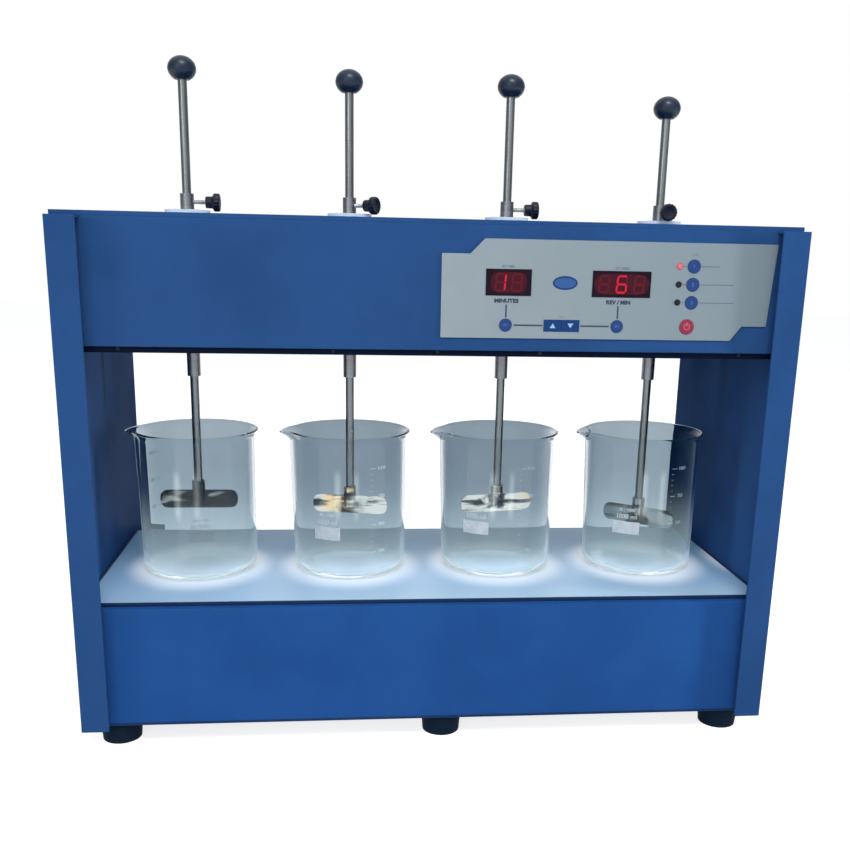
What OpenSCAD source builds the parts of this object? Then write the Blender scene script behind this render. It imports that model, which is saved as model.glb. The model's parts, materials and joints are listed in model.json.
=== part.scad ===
// Four-place jar tester: a sheet-metal cabinet with a lit deck for four glass
// jars, and a drive housing above that turns four sliding stirrers together.
// Millimetres, +Z up, +X to the right seen from the front, -Y towards the front.
// The origin is on the bench, under the middle of the cabinet.

/* [Cabinet] */
// From the outer stirrer axis to the outer face of the side panel
side_room = 93; // [80:1:130]
// Depth of the side panels, front to back
case_d = 292; // [270:1:340]
// Sheet thickness of the side panels
side_t = 2; // [1:0.1:3]
// Sheet thickness of every other panel
sheet_t = 1.5; // [1:0.1:2]
// Width of the flanges folded inwards on the side panels
flange_w = 24; // [18:1:30]
// How far the base and the housing stand back behind the front flanges
panel_inset = 12; // [6:0.5:18]
// Height of the base, without its feet
base_h = 112; // [80:1:140]
// How far the base's rear panel stands in front of the side panels' back edges
base_rear_inset = 28; // [12:1:40]
// Clear height from the deck to the housing floor
bay_h = 222; // [200:1:280]
// Height of the housing's front fascia
housing_h = 104; // [96:1:140]
// How far the housing floor hangs below the fascia
floor_lip = 5; // [4:0.5:8]
// Height of the housing floor's folded edges
floor_edge_h = 14; // [10:1:16]
// Thickness of the lid
lid_t = 4; // [1.5:0.1:5]
// Width of the folded rims that carry the deck and the lid
rim_w = 24; // [16:1:30]

/* [Deck] */
// Thickness of the light-diffusing deck plate
plate_t = 4; // [3:0.5:8]
// How far the plate's front edge stands behind the base's front
plate_setback = 8; // [3:0.5:12]
// Diameter of the lamp board under each jar
lamp_d = 116; // [90:1:130]
// Thickness of a lamp board
lamp_t = 2; // [1.5:0.1:4]
// Gap between the lamp boards and the deck's rims
lamp_gap = 16; // [8:1:30]

/* [Feet] */
// Diameter of a rubber foot at its top
foot_d = 38; // [28:1:44]
// Height of a rubber foot
foot_h = 20; // [12:0.5:30]
// From the cabinet's side to the outer feet's axes
foot_side = 28; // [24:1:40]
// From the front flanges to the front feet's axes
foot_front = 33; // [32:1:50]
// How far the middle feet stand to the right of the middle
foot_mid_x = 12; // [-20:1:20]

/* [Drive] */
// Gear module: pitch diameter over teeth
gear_module = 2; // [1.8:0.05:2.2]
// Teeth on every gear of the train
gear_teeth = 37; // [35:1:40]
// Face width of the gears
gear_w = 12; // [8:1:14]
// Play between the flanks of meshing teeth
backlash = 0.25; // [0.15:0.05:0.4]
// Height of the gears above the housing floor
gear_up = 8; // [6:0.5:12]
// Clear height under the bearing plate
bearing_plate_up = 27; // [26:0.5:34]
// Thickness of the bearing plate
bearing_plate_t = 3; // [2:0.5:5]
// Diameter of the idler gears' shafts
idler_shaft_d = 8; // [6:0.5:12]
// Side of the square motor gearbox
gearbox_w = 62; // [50:1:76]
// Height of the motor gearbox
gearbox_h = 24; // [18:1:28]
// Diameter of the motor can
motor_d = 50; // [36:1:60]
// Height of the motor can above the gearbox
motor_h = 34; // [20:1:38]

/* [Stirrers] */
// From the front flanges to the stirrers' axes
spindle_back = 126; // [115:1:145]
// Outer diameter of the hollow spindles
spindle_d = 12.4; // [11.5:0.1:16]
// How far a spindle reaches below the housing floor
spindle_drop = 32; // [20:1:50]
// Height of a spindle above its bush
collar_h = 14.5; // [12:0.5:24]
// Diameter of the white bush flange on the lid
bush_flange_d = 41; // [30:1:44]
// Thickness of the white bush flange on the lid
bush_flange_t = 6.5; // [4:0.5:12]
// Outer diameter of the bushes' bodies
bush_d = 18; // [17:0.5:24]
// Diameter of a stirrer rod
rod_d = 8; // [6:0.1:8.6]
// Rod left above the collar with its paddle at its lowest
rod_spare = 76; // [40:1:140]
// Running clearance on the radius of a shaft
run_gap = 0.05; // [0.02:0.01:0.1]
// Width of a ball knob
knob_d = 25; // [18:0.5:32]
// Height of a ball knob
knob_h = 21.5; // [16:0.5:32]
// Length of a paddle
paddle_w = 75; // [50:1:84]
// Height of a paddle
paddle_h = 18; // [12:0.5:26]
// Sheet thickness of a paddle
paddle_t = 1.5; // [1:0.1:2]
// Radius of a paddle's rounded corners
paddle_corner = 7.5; // [2:0.5:8.5]
// Diameter of a paddle's hub
hub_d = 12.4; // [11:0.1:16]
// Height of the hub above the paddle's top edge
hub_up = 9.5; // [6:0.5:16]
// Lowest working height of a paddle's middle above the deck
paddle_low = 39; // [36:1:60]
// Height of the first paddle above its lowest place
raise_1 = 30; // [0:1:60]
// Height of the second paddle above its lowest place
raise_2 = 24; // [0:1:60]
// Height of the third paddle above its lowest place
raise_3 = 25; // [0:1:60]
// Height of the fourth paddle above its lowest place
raise_4 = 11; // [0:1:60]

/* [Thumb screws] */
// Diameter of a thumb screw's steel stem
thumb_stem_d = 4; // [3:0.1:5]
// Bare stem between the collar and the black head
thumb_reach = 10.5; // [6:0.5:16]
// Diameter of the head's neck
thumb_neck_d = 10.4; // [8:0.1:12]
// Length of the head's neck
thumb_neck_l = 7; // [4:0.5:12]
// Diameter of the head
thumb_head_d = 16; // [12:0.5:20]
// Length of the head
thumb_head_l = 6; // [3:0.5:10]

/* [Jars] */
// Outer diameter of a glass jar
jar_d = 110; // [96:1:120]
// Height of a glass jar
jar_h = 139; // [110:1:160]
// Wall thickness of a jar
jar_wall = 2.4; // [1.8:0.1:3.5]
// Thickness of a jar's bottom
jar_base = 4; // [3:0.5:6]
// Radius of the turn from a jar's wall to its bottom
jar_corner = 10; // [6:0.5:14]
// How far the rim flares out past the wall
jar_flare = 3.9; // [2:0.1:5]
// Height of the flared stretch under the rim
jar_flare_h = 9; // [6:0.5:14]
// From a jar's axis to the tip of its spout
spout_reach = 69; // [66:0.5:71]
// Depth of the spout's tip
spout_h = 4.5; // [3.5:0.1:7]

/* [Control panel] */
// Left edge of the panel overlay, right of the middle
overlay_x = 2; // [-20:1:10]
// Width of the overlay
overlay_w = 290; // [286:1:300]
// Height of the overlay
overlay_h = 82; // [78:1:84]
// Overlay's bottom edge above the fascia's bottom edge
overlay_up = 11; // [9:0.5:12]
// Thickness of the overlay
overlay_t = 1; // [0.6:0.1:1.5]
// Width of the steps cut from two of the overlay's corners
step_w = 24; // [12:1:34]
// Height of those steps
step_h = 12.5; // [8:0.5:18]
// Width of the slope beside each step
step_slope = 12; // [4:0.5:16]
// How far the overlay's right edge leans in at its lower end
overlay_lean = 4.5; // [0:0.5:8]
// Width of the time display
time_display_w = 38.5; // [36:0.5:50]
// Width of the speed display
speed_display_w = 50.5; // [44:0.5:58]
// Height of both displays
display_h = 21.5; // [18:0.5:26]
// Height of both displays' middles on the overlay
display_v = 46.5; // [44:0.5:50]
// Diameter of the two setting keys
set_key_d = 10.5; // [9:0.1:14]
// Diameter of the three function keys
function_key_d = 11.2; // [9:0.1:14]
// Diameter of the red power key
power_key_d = 12.6; // [10:0.1:15]
// Width of an arrow key
arrow_key_w = 15.2; // [12:0.1:17]
// Height of an arrow key
arrow_key_h = 9.6; // [8:0.1:13]
// Travel of a key
key_travel = 0.6; // [0.3:0.1:1]
// Height of a key above the overlay
key_proud = 0.4; // [0.2:0.1:1]
// Side clearance round a key
key_gap = 0.25; // [0.15:0.05:0.5]
// Diameter of the three indicator lamps
lamp_led_d = 5; // [3:0.1:6]
// From the fascia's back to the control board
board_back = 9; // [7:0.5:14]
// Thickness of the control board
board_t = 1.6; // [1:0.1:2.4]

/* [Power] */
// Length of the power supply
supply_l = 130; // [90:1:160]
// Width of the power supply
supply_w = 62; // [50:1:66]
// Height of the power supply
supply_h = 38; // [28:1:50]
// Mains inlet right of the middle
inlet_x = 225; // [150:1:250]
// Width of the mains inlet's body
inlet_w = 27; // [26:0.5:30]
// Height of the mains inlet's body
inlet_h = 20; // [19:0.5:24]
// Distance between the inlet's two screws
inlet_screws = 40; // [38:0.5:46]

/* [Fasteners] */
// Shank diameter of the case screws
screw_d = 4; // [3:0.1:4.5]
// Head diameter of the case screws
screw_head_d = 7.4; // [6:0.1:9]
// Head height of the case screws
screw_head_h = 1.8; // [1.2:0.1:2.4]
// Length of the case screws under the head
screw_l = 8; // [7:0.5:9]
// Clearance on the radius round a screw's shank
screw_gap = 0.1; // [0.05:0.05:0.3]

/* [Hidden] */
$fn = 48;
eps = 0.01;

// --- Places worked out from the sizes above ---
gear_r = gear_module * gear_teeth / 2;
pitch = 4 * gear_r; // a gear between each two stirrers
stirrer_x = [for (i = [0:3]) (i - 1.5) * pitch];
idler_x = [-pitch, 0, pitch];
case_w = 3 * pitch + 2 * side_room;
inner_w = case_w - 2 * side_t;
front_y = -case_d / 2;
back_y = case_d / 2;
panel_y = front_y + panel_inset;
base_back_y = back_y - base_rear_inset;
spindle_y = front_y + spindle_back;
case_z = foot_h;
rim_z = case_z + base_h;
deck_z = rim_z + plate_t;
floor_z = deck_z + bay_h;
fascia_z = floor_z + floor_lip;
case_top = fascia_z + housing_h;
lid_z = case_top + lid_t;
bush_z = lid_z + bush_flange_t;
collar_z = bush_z + collar_h;
spindle_low = floor_z - spindle_drop;
floor_in = floor_z + sheet_t;
gear_z = floor_in + gear_up;
bearing_z = floor_in + bearing_plate_up;
motor_z = bearing_z + bearing_plate_t;
gear_low_gap = 0.3;
lower_bush_flange_t = 3;
hub_low = floor_in + lower_bush_flange_t + gear_low_gap;
idler_boss_h = 3;
motor_shaft_l = 15; // how far the drive gear's shaft reaches into the gearbox
fit_gap = 0.02; // between a shaft and what is fixed on it
bore_r = rod_d / 2 + run_gap;
thumb_z = (bush_z + collar_z) / 2;
thumb_turn = [0, -33, 0, -90]; // way each thumb screw points, from +X
paddle_turn = [0, -12, 12, -38]; // way each paddle points, from +X
raises = [raise_1, raise_2, raise_3, raise_4];
function paddle_z(i) = deck_z + paddle_low + raises[i];
rod_l = collar_z + rod_spare - deck_z - paddle_low; // paddle's middle to knob's middle
hub_top = paddle_h / 2 + hub_up;
rod_in_hub = 9;
jar_gap = 0.2; // between a jar and the deck
spout_tip_r = 5;
spout_side_r = 17;
spout_root = 20; // how far below the rim a spout starts
spout_root_r = 11;
spout_root_in = 15; // from the wall's outer face to the root's axis
foot_x = [-case_w / 2 + foot_side, foot_mid_x, case_w / 2 - foot_side];
foot_y = [front_y + foot_front, base_back_y - foot_front + panel_inset];
lamp_z = rim_z - sheet_t - lamp_gap;
fascia_back = panel_y + sheet_t;
overlay_y = panel_y - overlay_t;
board_y = fascia_back + board_back;
function panel_x(u) = overlay_x + u;
function panel_z(v) = fascia_z + overlay_up + v;
time_u = 57;
speed_u = 154.5;
arrow_u = 104;
lower_row_v = 11;
set_keys = [[55.5, lower_row_v], [152.5, lower_row_v]];
arrow_keys = [[arrow_u - arrow_key_w / 2 - key_gap / 2, lower_row_v],
              [arrow_u + arrow_key_w / 2 + key_gap / 2, lower_row_v]];
function_v = [62.5, 47.3, 32.1];
function_u = 217;
led_u = 204.5;
power_place = [214.5, lower_row_v + 0.5];
stem_d = 5;
stem_gap = 0.3;
switch_w = 6;
board_u0 = 14; // the control board's edges on the overlay
board_u1 = 262;
board_v0 = 4;
board_v1 = overlay_h - 6;
spacer_d = 6;
spacer_in = 5;
chip_u = 100;
chip_v = 25;
chip_w = 24;
chip_h = 12;
chip_t = 3;
capacitor_u = 30;
capacitor_v = 60;
capacitor_pitch = 18;
capacitor_d = 10;
capacitor_l = 12;
display_gap = 0.3;
display_proud = 0.4;
inlet_z = case_z + base_h / 2;
inlet_screw_d = 3;
inlet_flange_t = 3;
rear_cover_y = back_y - side_t - sheet_t;
lid_screw_front = 62;
lid_screw_rear = 30;
lid_screws_y = [front_y + lid_screw_front, 0, back_y - lid_screw_rear];
case_screw_x = case_w / 2 - flange_w / 2;
rear_screw_in = 20;
rear_screws_z = [fascia_z + rear_screw_in, case_top - rear_screw_in];
rear_vent_x = 150; // first of twelve slots each side of the middle
rear_vent_pitch = 9;
rear_vent_w = 4;
rear_vent_up = 38;
rear_vent_h = 36;
base_vent_x = -170; // first of ten slots
base_vent_pitch = 14;
base_vent_w = 5;
base_vent_h = 40;
base_screw_x = inner_w / 2 - rim_w / 2;
base_screw_in = 25;
base_screws_z = [case_z + base_screw_in, rim_z - base_screw_in];
lip_screws_x = [-1.8 * pitch, -0.6 * pitch, 0, 0.6 * pitch, 1.8 * pitch];
lip_screw_d = 2;
lip_screw_head_d = floor_lip - sheet_t - 0.2;
lip_screw_z = floor_z + (floor_lip + sheet_t) / 2;
motor_screw_place = gearbox_w / 2 - 6;
pillar_d = 10;
pillar_x = [-1.9 * pitch, -0.75 * pitch, 0.75 * pitch, 1.9 * pitch];
pillar_off = gear_r + gear_module + pillar_d;
bearing_w = 2 * 1.9 * pitch + 2 * pillar_d;
bearing_d = 2 * pillar_off + 2 * pillar_d;

// --- Shared shapes ---

// A block between two corners
module block(a, b) {
    translate(a) cube(b - a);
}

// A round bar along +Z from z0 to z1
module bar(x, y, z0, z1, d) {
    translate([x, y, z0]) cylinder(d = d, h = z1 - z0);
}

// A round bar along +Y from y0 to y1
module bar_y(x, z, y0, y1, d) {
    translate([x, y0, z]) rotate([-90, 0, 0]) cylinder(d = d, h = y1 - y0);
}

// A round-headed screw pointing down from the face at its origin
module screw(d, head_d, head_h, l) {
    translate([0, 0, -l]) cylinder(d = d, h = l);
    cylinder(d1 = head_d, d2 = head_d * 0.8, h = head_h);
}

// Involute gear outline, with a tooth centred on +X
function inv(a) = tan(a) * 180 / PI - a;
pressure = 20;
base_r = gear_r * cos(pressure);
tooth_half = (PI * gear_module / 2 - backlash) / 2 / gear_r * 180 / PI;
function flank(r) = tooth_half + inv(pressure) - inv(r > base_r ? acos(base_r / r) : 0);
flank_r = [gear_r - 1.25 * gear_module, gear_r - 0.6 * gear_module, gear_r, gear_r + gear_module];
function polar(r, a) = r * [cos(a), sin(a)];
function tooth(c) = concat(
    [for (r = flank_r) polar(r, c - flank(r))],
    [for (k = [3:-1:0]) polar(flank_r[k], c + flank(flank_r[k]))]);
gear_outline = [for (n = [0:gear_teeth - 1]) each tooth(n * 360 / gear_teeth)];

module gear_blank(bore, hub, low, high) {
    difference() {
        union() {
            translate([0, 0, gear_z]) linear_extrude(gear_w) polygon(gear_outline);
            bar(0, 0, low, high, hub);
        }
        if (bore > 0) bar(0, 0, low - 1, high + 1, bore);
    }
}

// --- Cabinet ---

// Flanges all the way up its front, and behind only beside the base and the housing
module side_panel() {
    color([0.14, 0.33, 0.58]) difference() {
        union() {
            block([inner_w / 2, front_y, case_z], [case_w / 2, back_y, case_top]);
            block([case_w / 2 - flange_w, front_y, case_z], [case_w / 2, front_y + side_t, case_top]);
            for (z = [[case_z, rim_z], [floor_z, case_top]])
                block([case_w / 2 - flange_w, back_y - side_t, z[0]], [case_w / 2, back_y, z[1]]);
            block([case_w / 2 - flange_w, front_y, case_top - side_t], [case_w / 2, back_y, case_top]);
        }
        for (y = lid_screws_y)
            bar(case_screw_x, y, case_top - side_t - 1, case_top + 1, screw_d + 2 * screw_gap);
        for (z = rear_screws_z)
            bar_y(case_screw_x, z, back_y - side_t - 1, back_y + 1, screw_d + 2 * screw_gap);
    }
}

module left_side_panel() { mirror([1, 0, 0]) side_panel(); }

module right_side_panel() { side_panel(); }

// Bottom, front and ends folded from one sheet, with rims that carry the deck
module base_pan() {
    pan_back = base_back_y - sheet_t;
    color([0.14, 0.33, 0.58]) difference() {
        union() {
            block([-inner_w / 2, panel_y, case_z], [inner_w / 2, pan_back, case_z + sheet_t]);
            block([-inner_w / 2, panel_y, case_z], [inner_w / 2, panel_y + sheet_t, rim_z]);
            block([-inner_w / 2, panel_y, rim_z - sheet_t], [inner_w / 2, panel_y + rim_w, rim_z]);
            for (s = [-1, 1]) scale([s, 1, 1]) {
                block([inner_w / 2 - sheet_t, panel_y, case_z], [inner_w / 2, pan_back, rim_z]);
                block([inner_w / 2 - rim_w, panel_y, rim_z - sheet_t], [inner_w / 2, pan_back, rim_z]);
                block([inner_w / 2 - rim_w, pan_back - sheet_t, case_z], [inner_w / 2, pan_back, rim_z]);
            }
        }
        for (x = foot_x, y = foot_y)
            bar(x, y, case_z - 1, case_z + sheet_t + 1, screw_d + 2 * screw_gap);
        for (s = [-1, 1], z = base_screws_z)
            bar_y(s * base_screw_x, z, pan_back - sheet_t - 1, pan_back + 1, screw_d + 2 * screw_gap);
    }
}

module base_rear_panel() {
    vent_x = [for (i = [0:9]) base_vent_x + i * base_vent_pitch];
    color([0.14, 0.33, 0.58]) difference() {
        union() {
            block([-inner_w / 2, base_back_y - sheet_t, case_z], [inner_w / 2, base_back_y, rim_z]);
            block([-inner_w / 2 + rim_w + 1, base_back_y - rim_w, rim_z - sheet_t],
                  [inner_w / 2 - rim_w - 1, base_back_y, rim_z]);
        }
        for (s = [-1, 1], z = base_screws_z)
            bar_y(s * base_screw_x, z, base_back_y - sheet_t - 1, base_back_y + 1,
                  screw_d + 2 * screw_gap);
        block([inlet_x - inlet_w / 2 - 0.2, base_back_y - sheet_t - 1, inlet_z - inlet_h / 2 - 0.2],
              [inlet_x + inlet_w / 2 + 0.2, base_back_y + 1, inlet_z + inlet_h / 2 + 0.2]);
        for (s = [-1, 1])
            bar_y(inlet_x + s * inlet_screws / 2, inlet_z, base_back_y - sheet_t - 1,
                  base_back_y + 1, inlet_screw_d + 2 * screw_gap);
        for (x = vent_x)
            block([x, base_back_y - sheet_t - 1, inlet_z - base_vent_h / 2],
                  [x + base_vent_w, base_back_y + 1, inlet_z + base_vent_h / 2]);
    }
}

module light_plate() {
    color([0.85, 0.93, 1.0]) block(
        [-inner_w / 2 + 0.5, panel_y + plate_setback, rim_z],
        [inner_w / 2 - 0.5, base_back_y - plate_setback, deck_z]);
}

// One board with its ring of light and three legs, standing in the base, per jar
module jar_lamps() {
    leg_d = 6;
    ring_in = 4;
    ring_w = 8;
    ring_h = 2;
    color([0.95, 0.95, 0.9]) for (x = stirrer_x) {
        bar(x, spindle_y, lamp_z, lamp_z + lamp_t, lamp_d);
        translate([x, spindle_y, lamp_z + lamp_t]) difference() {
            cylinder(d = lamp_d - 2 * ring_in, h = ring_h);
            translate([0, 0, -1]) cylinder(d = lamp_d - 2 * (ring_in + ring_w), h = ring_h + 2);
        }
        for (a = [90, 210, 330])
            bar(x + (lamp_d / 2 - leg_d) * cos(a), spindle_y + (lamp_d / 2 - leg_d) * sin(a),
                case_z + sheet_t, lamp_z, leg_d);
    }
}

module rubber_feet() {
    recess_d = 18;
    recess_h = foot_h - 6;
    color([0.06, 0.07, 0.08]) for (x = foot_x, y = foot_y)
        translate([x, y, 0]) difference() {
            cylinder(d1 = foot_d - 3, d2 = foot_d, h = foot_h);
            translate([0, 0, -1]) cylinder(d = recess_d, h = recess_h + 1);
            cylinder(d = screw_d + 2 * screw_gap, h = foot_h + 1);
        }
}

// --- Drive housing ---

module housing_floor() {
    floor_front = fascia_back;
    floor_back = rear_cover_y;
    edge_z = floor_z + floor_edge_h;
    color([0.05, 0.07, 0.12]) difference() {
        union() {
            block([-inner_w / 2, floor_front, floor_z], [inner_w / 2, floor_back, floor_in]);
            for (y = [floor_front, floor_back - sheet_t])
                block([-inner_w / 2, y, floor_z], [inner_w / 2, y + sheet_t, edge_z]);
            for (s = [-1, 1]) scale([s, 1, 1])
                block([inner_w / 2 - sheet_t, floor_front, floor_z], [inner_w / 2, floor_back, edge_z]);
            for (x = idler_x)
                bar(x, spindle_y, floor_in - eps, floor_in + idler_boss_h, idler_shaft_d + 8);
        }
        for (x = stirrer_x) bar(x, spindle_y, floor_z - 1, floor_in + 1, bush_d + 2 * fit_gap);
        for (x = idler_x)
            bar(x, spindle_y, floor_z - 1, floor_in + idler_boss_h + 1, idler_shaft_d + 2 * run_gap);
        for (x = lip_screws_x)
            bar_y(x, lip_screw_z, floor_front - 1, floor_front + sheet_t + 1,
                  lip_screw_d + 2 * screw_gap);
    }
}

// Outline of the overlay, stepped at the upper left and the lower right
overlay_outline = [
    [0, 0], [0, overlay_h - step_h], [step_w, overlay_h - step_h],
    [step_w + step_slope, overlay_h], [overlay_w, overlay_h], [overlay_w - overlay_lean, step_h],
    [overlay_w - step_w - overlay_lean / 2, step_h], [overlay_w - step_w - step_slope, 0]];

// Everything that comes through the panel, cut between y0 and y1 with a gap
module panel_openings(y0, y1, key_open, stem_open, display_open) {
    for (k = [[time_u, time_display_w], [speed_u, speed_display_w]])
        block([panel_x(k[0]) - k[1] / 2 - display_open, y0,
               panel_z(display_v) - display_h / 2 - display_open],
              [panel_x(k[0]) + k[1] / 2 + display_open, y1,
               panel_z(display_v) + display_h / 2 + display_open]);
    for (p = set_keys) key_hole(p, y0, y1, set_key_d, key_open, stem_open);
    for (v = function_v) key_hole([function_u, v], y0, y1, function_key_d, key_open, stem_open);
    key_hole(power_place, y0, y1, power_key_d, key_open, stem_open);
    for (p = arrow_keys)
        if (key_open) arrow_block(p, y0, y1, key_gap);
        else bar_y(panel_x(p[0]), panel_z(p[1]), y0, y1, stem_open);
    for (v = function_v) bar_y(panel_x(led_u), panel_z(v), y0, y1, lamp_led_d + 2 * key_gap);
}

module key_hole(p, y0, y1, d, key_open, stem_open) {
    bar_y(panel_x(p[0]), panel_z(p[1]), y0, y1, key_open ? d + 2 * key_gap : stem_open);
}

module arrow_block(p, y0, y1, gap) {
    block([panel_x(p[0]) - arrow_key_w / 2 - gap, y0, panel_z(p[1]) - arrow_key_h / 2 - gap],
          [panel_x(p[0]) + arrow_key_w / 2 + gap, y1, panel_z(p[1]) + arrow_key_h / 2 + gap]);
}

module front_fascia() {
    color([0.14, 0.33, 0.58]) difference() {
        union() {
            block([-inner_w / 2, panel_y, fascia_z], [inner_w / 2, fascia_back, case_top - side_t]);
            block([-case_w / 2 + flange_w + 0.5, panel_y, case_top - side_t - 1],
                  [case_w / 2 - flange_w - 0.5, fascia_back, case_top]);
            block([-case_w / 2 + flange_w + 0.5, panel_y, case_top - sheet_t],
                  [case_w / 2 - flange_w - 0.5, panel_y + rim_w, case_top]);
        }
        panel_openings(panel_y - 1, fascia_back + 1, false, stem_d + 2 * stem_gap, display_gap);
    }
}

module rear_cover() {
    vent_x = [for (s = [-1, 1], i = [0:11]) s * (rear_vent_x + i * rear_vent_pitch) - rear_vent_w / 2];
    color([0.14, 0.33, 0.58]) difference() {
        block([-inner_w / 2, rear_cover_y, floor_z],
              [inner_w / 2, rear_cover_y + sheet_t, case_top - side_t]);
        for (s = [-1, 1], z = rear_screws_z)
            bar_y(s * case_screw_x, z, rear_cover_y - 1, back_y, screw_d + 2 * screw_gap);
        for (x = vent_x)
            block([x, rear_cover_y - 1, fascia_z + rear_vent_up],
                  [x + rear_vent_w, back_y, fascia_z + rear_vent_up + rear_vent_h]);
    }
}

module top_cover() {
    color([0.16, 0.36, 0.62]) difference() {
        block([-case_w / 2 + 1, panel_y, case_top], [case_w / 2 - 1, back_y - 1, lid_z]);
        for (x = stirrer_x) bar(x, spindle_y, case_top - 1, lid_z + 1, bush_d + 2 * fit_gap);
        for (s = [-1, 1], y = lid_screws_y)
            bar(s * case_screw_x, y, case_top - 1, lid_z + 1, screw_d + 2 * screw_gap);
    }
}

// Carries the motor and the idlers' upper ends, on eight pillars
module bearing_plate() {
    color([0.7, 0.72, 0.75]) difference() {
        union() {
            block([-bearing_w / 2, spindle_y - bearing_d / 2, bearing_z],
                  [bearing_w / 2, spindle_y + bearing_d / 2, motor_z]);
            for (x = pillar_x, s = [-1, 1])
                bar(x, spindle_y + s * pillar_off, floor_in, bearing_z + eps, pillar_d);
        }
        for (x = stirrer_x) bar(x, spindle_y, bearing_z - 1, motor_z + 1, spindle_d + 4);
        for (x = idler_x) bar(x, spindle_y, bearing_z - 1, motor_z + 1, idler_shaft_d + 2 * run_gap);
        for (sx = [-1, 1], sy = [-1, 1])
            bar(sx * motor_screw_place, spindle_y + sy * motor_screw_place, bearing_z - 1,
                motor_z + 1, screw_d + 2 * screw_gap);
    }
}

module gear_motor() {
    can_z = motor_z + gearbox_h;
    color([0.3, 0.32, 0.35]) difference() {
        union() {
            block([-gearbox_w / 2, spindle_y - gearbox_w / 2, motor_z],
                  [gearbox_w / 2, spindle_y + gearbox_w / 2, can_z]);
            bar(0, spindle_y, can_z - eps, can_z + motor_h, motor_d);
            bar(0, spindle_y, can_z + motor_h - eps, can_z + motor_h + 3, motor_d / 3);
        }
        bar(0, spindle_y, motor_z - 1, motor_z + motor_shaft_l + run_gap, idler_shaft_d + 2 * run_gap);
        for (sx = [-1, 1], sy = [-1, 1])
            bar(sx * motor_screw_place, spindle_y + sy * motor_screw_place, motor_z - 1,
                motor_z + 10, screw_d + 2 * screw_gap);
    }
}

// Four white flanged bushes in the lid and four plain ones in the housing floor
module spindle_bushes() {
    color([0.93, 0.94, 0.95]) for (x = stirrer_x) translate([x, spindle_y, 0]) {
        difference() {
            union() {
                bar(0, 0, lid_z, bush_z, bush_flange_d);
                bar(0, 0, case_top - 8, lid_z + eps, bush_d);
            }
            bar(0, 0, case_top - 9, bush_z + 1, spindle_d + 2 * run_gap);
        }
        difference() {
            union() {
                bar(0, 0, floor_in, floor_in + lower_bush_flange_t, bush_d + 8);
                bar(0, 0, floor_z, floor_in + eps, bush_d);
            }
            bar(0, 0, floor_z - 1, floor_in + lower_bush_flange_t + 1, spindle_d + 2 * run_gap);
        }
    }
}

// --- Control panel ---

module control_overlay() {
    color([0.72, 0.76, 0.78]) difference() {
        translate([panel_x(0), panel_y, panel_z(0)]) rotate([90, 0, 0])
            linear_extrude(overlay_t) polygon(overlay_outline);
        panel_openings(overlay_y - 1, panel_y + 1, true, stem_d, display_gap);
    }
}

module display_windows() {
    color([0.22, 0.04, 0.06]) for (k = [[time_u, time_display_w], [speed_u, speed_display_w]])
        block([panel_x(k[0]) - k[1] / 2, overlay_y - display_proud, panel_z(display_v) - display_h / 2],
              [panel_x(k[0]) + k[1] / 2, board_y, panel_z(display_v) + display_h / 2]);
}

module indicator_lamps() {
    color([0.5, 0.05, 0.05]) for (v = function_v) {
        bar_y(panel_x(led_u), panel_z(v), overlay_y, board_y, lamp_led_d);
        bar_y(panel_x(led_u), panel_z(v), overlay_y - 0.8, overlay_y + eps, lamp_led_d - 1.2);
    }
}

// Circuit board with its spacers and one small switch behind each key
module control_board() {
    all_keys = concat(set_keys, arrow_keys, [for (v = function_v) [function_u, v]], [power_place]);
    switch_y = overlay_y - key_proud + key_stem_l() + key_travel + 0.1;
    color([0.1, 0.4, 0.2]) {
        block([panel_x(board_u0), board_y, panel_z(board_v0)],
              [panel_x(board_u1), board_y + board_t, panel_z(board_v1)]);
        for (u = [board_u0 + spacer_in, board_u1 - spacer_in],
             v = [board_v0 + spacer_in, board_v1 - spacer_in])
            bar_y(panel_x(u), panel_z(v), fascia_back, board_y + eps, spacer_d);
        for (p = all_keys)
            block([panel_x(p[0]) - switch_w / 2, switch_y, panel_z(p[1]) - switch_w / 2],
                  [panel_x(p[0]) + switch_w / 2, board_y + eps, panel_z(p[1]) + switch_w / 2]);
        block([panel_x(chip_u), board_y + board_t - eps, panel_z(chip_v)],
              [panel_x(chip_u + chip_w), board_y + board_t + chip_t, panel_z(chip_v + chip_h)]);
        for (u = [capacitor_u, capacitor_u + capacitor_pitch])
            bar_y(panel_x(u), panel_z(capacitor_v), board_y + board_t - eps,
                  board_y + board_t + capacitor_l, capacitor_d);
    }
}

// Length of a key from its front face to its stem's end
function key_stem_l() = key_proud + overlay_t + sheet_t + board_back - 4;
key_cap_l = key_proud + overlay_t - key_travel - 0.1;

module key_stem(p) {
    key_y = overlay_y - key_proud;
    bar_y(panel_x(p[0]), panel_z(p[1]), key_y + key_cap_l - eps, key_y + key_stem_l(), stem_d);
}

module round_key(p, d) {
    key_y = overlay_y - key_proud;
    bar_y(panel_x(p[0]), panel_z(p[1]), key_y, key_y + key_cap_l, d);
    key_stem(p);
}

module arrow_key(p) {
    key_y = overlay_y - key_proud;
    arrow_block(p, key_y, key_y + key_cap_l, 0);
    key_stem(p);
}

module time_key() { color([0.12, 0.3, 0.6]) round_key(set_keys[0], set_key_d); }
module speed_key() { color([0.12, 0.3, 0.6]) round_key(set_keys[1], set_key_d); }
module up_key() { color([0.12, 0.3, 0.6]) arrow_key(arrow_keys[0]); }
module down_key() { color([0.12, 0.3, 0.6]) arrow_key(arrow_keys[1]); }
module function_key(i) {
    color([0.12, 0.3, 0.6]) round_key([function_u, function_v[i]], function_key_d);
}
module power_key() { color([0.75, 0.12, 0.15]) round_key(power_place, power_key_d); }

// --- Power ---

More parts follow.
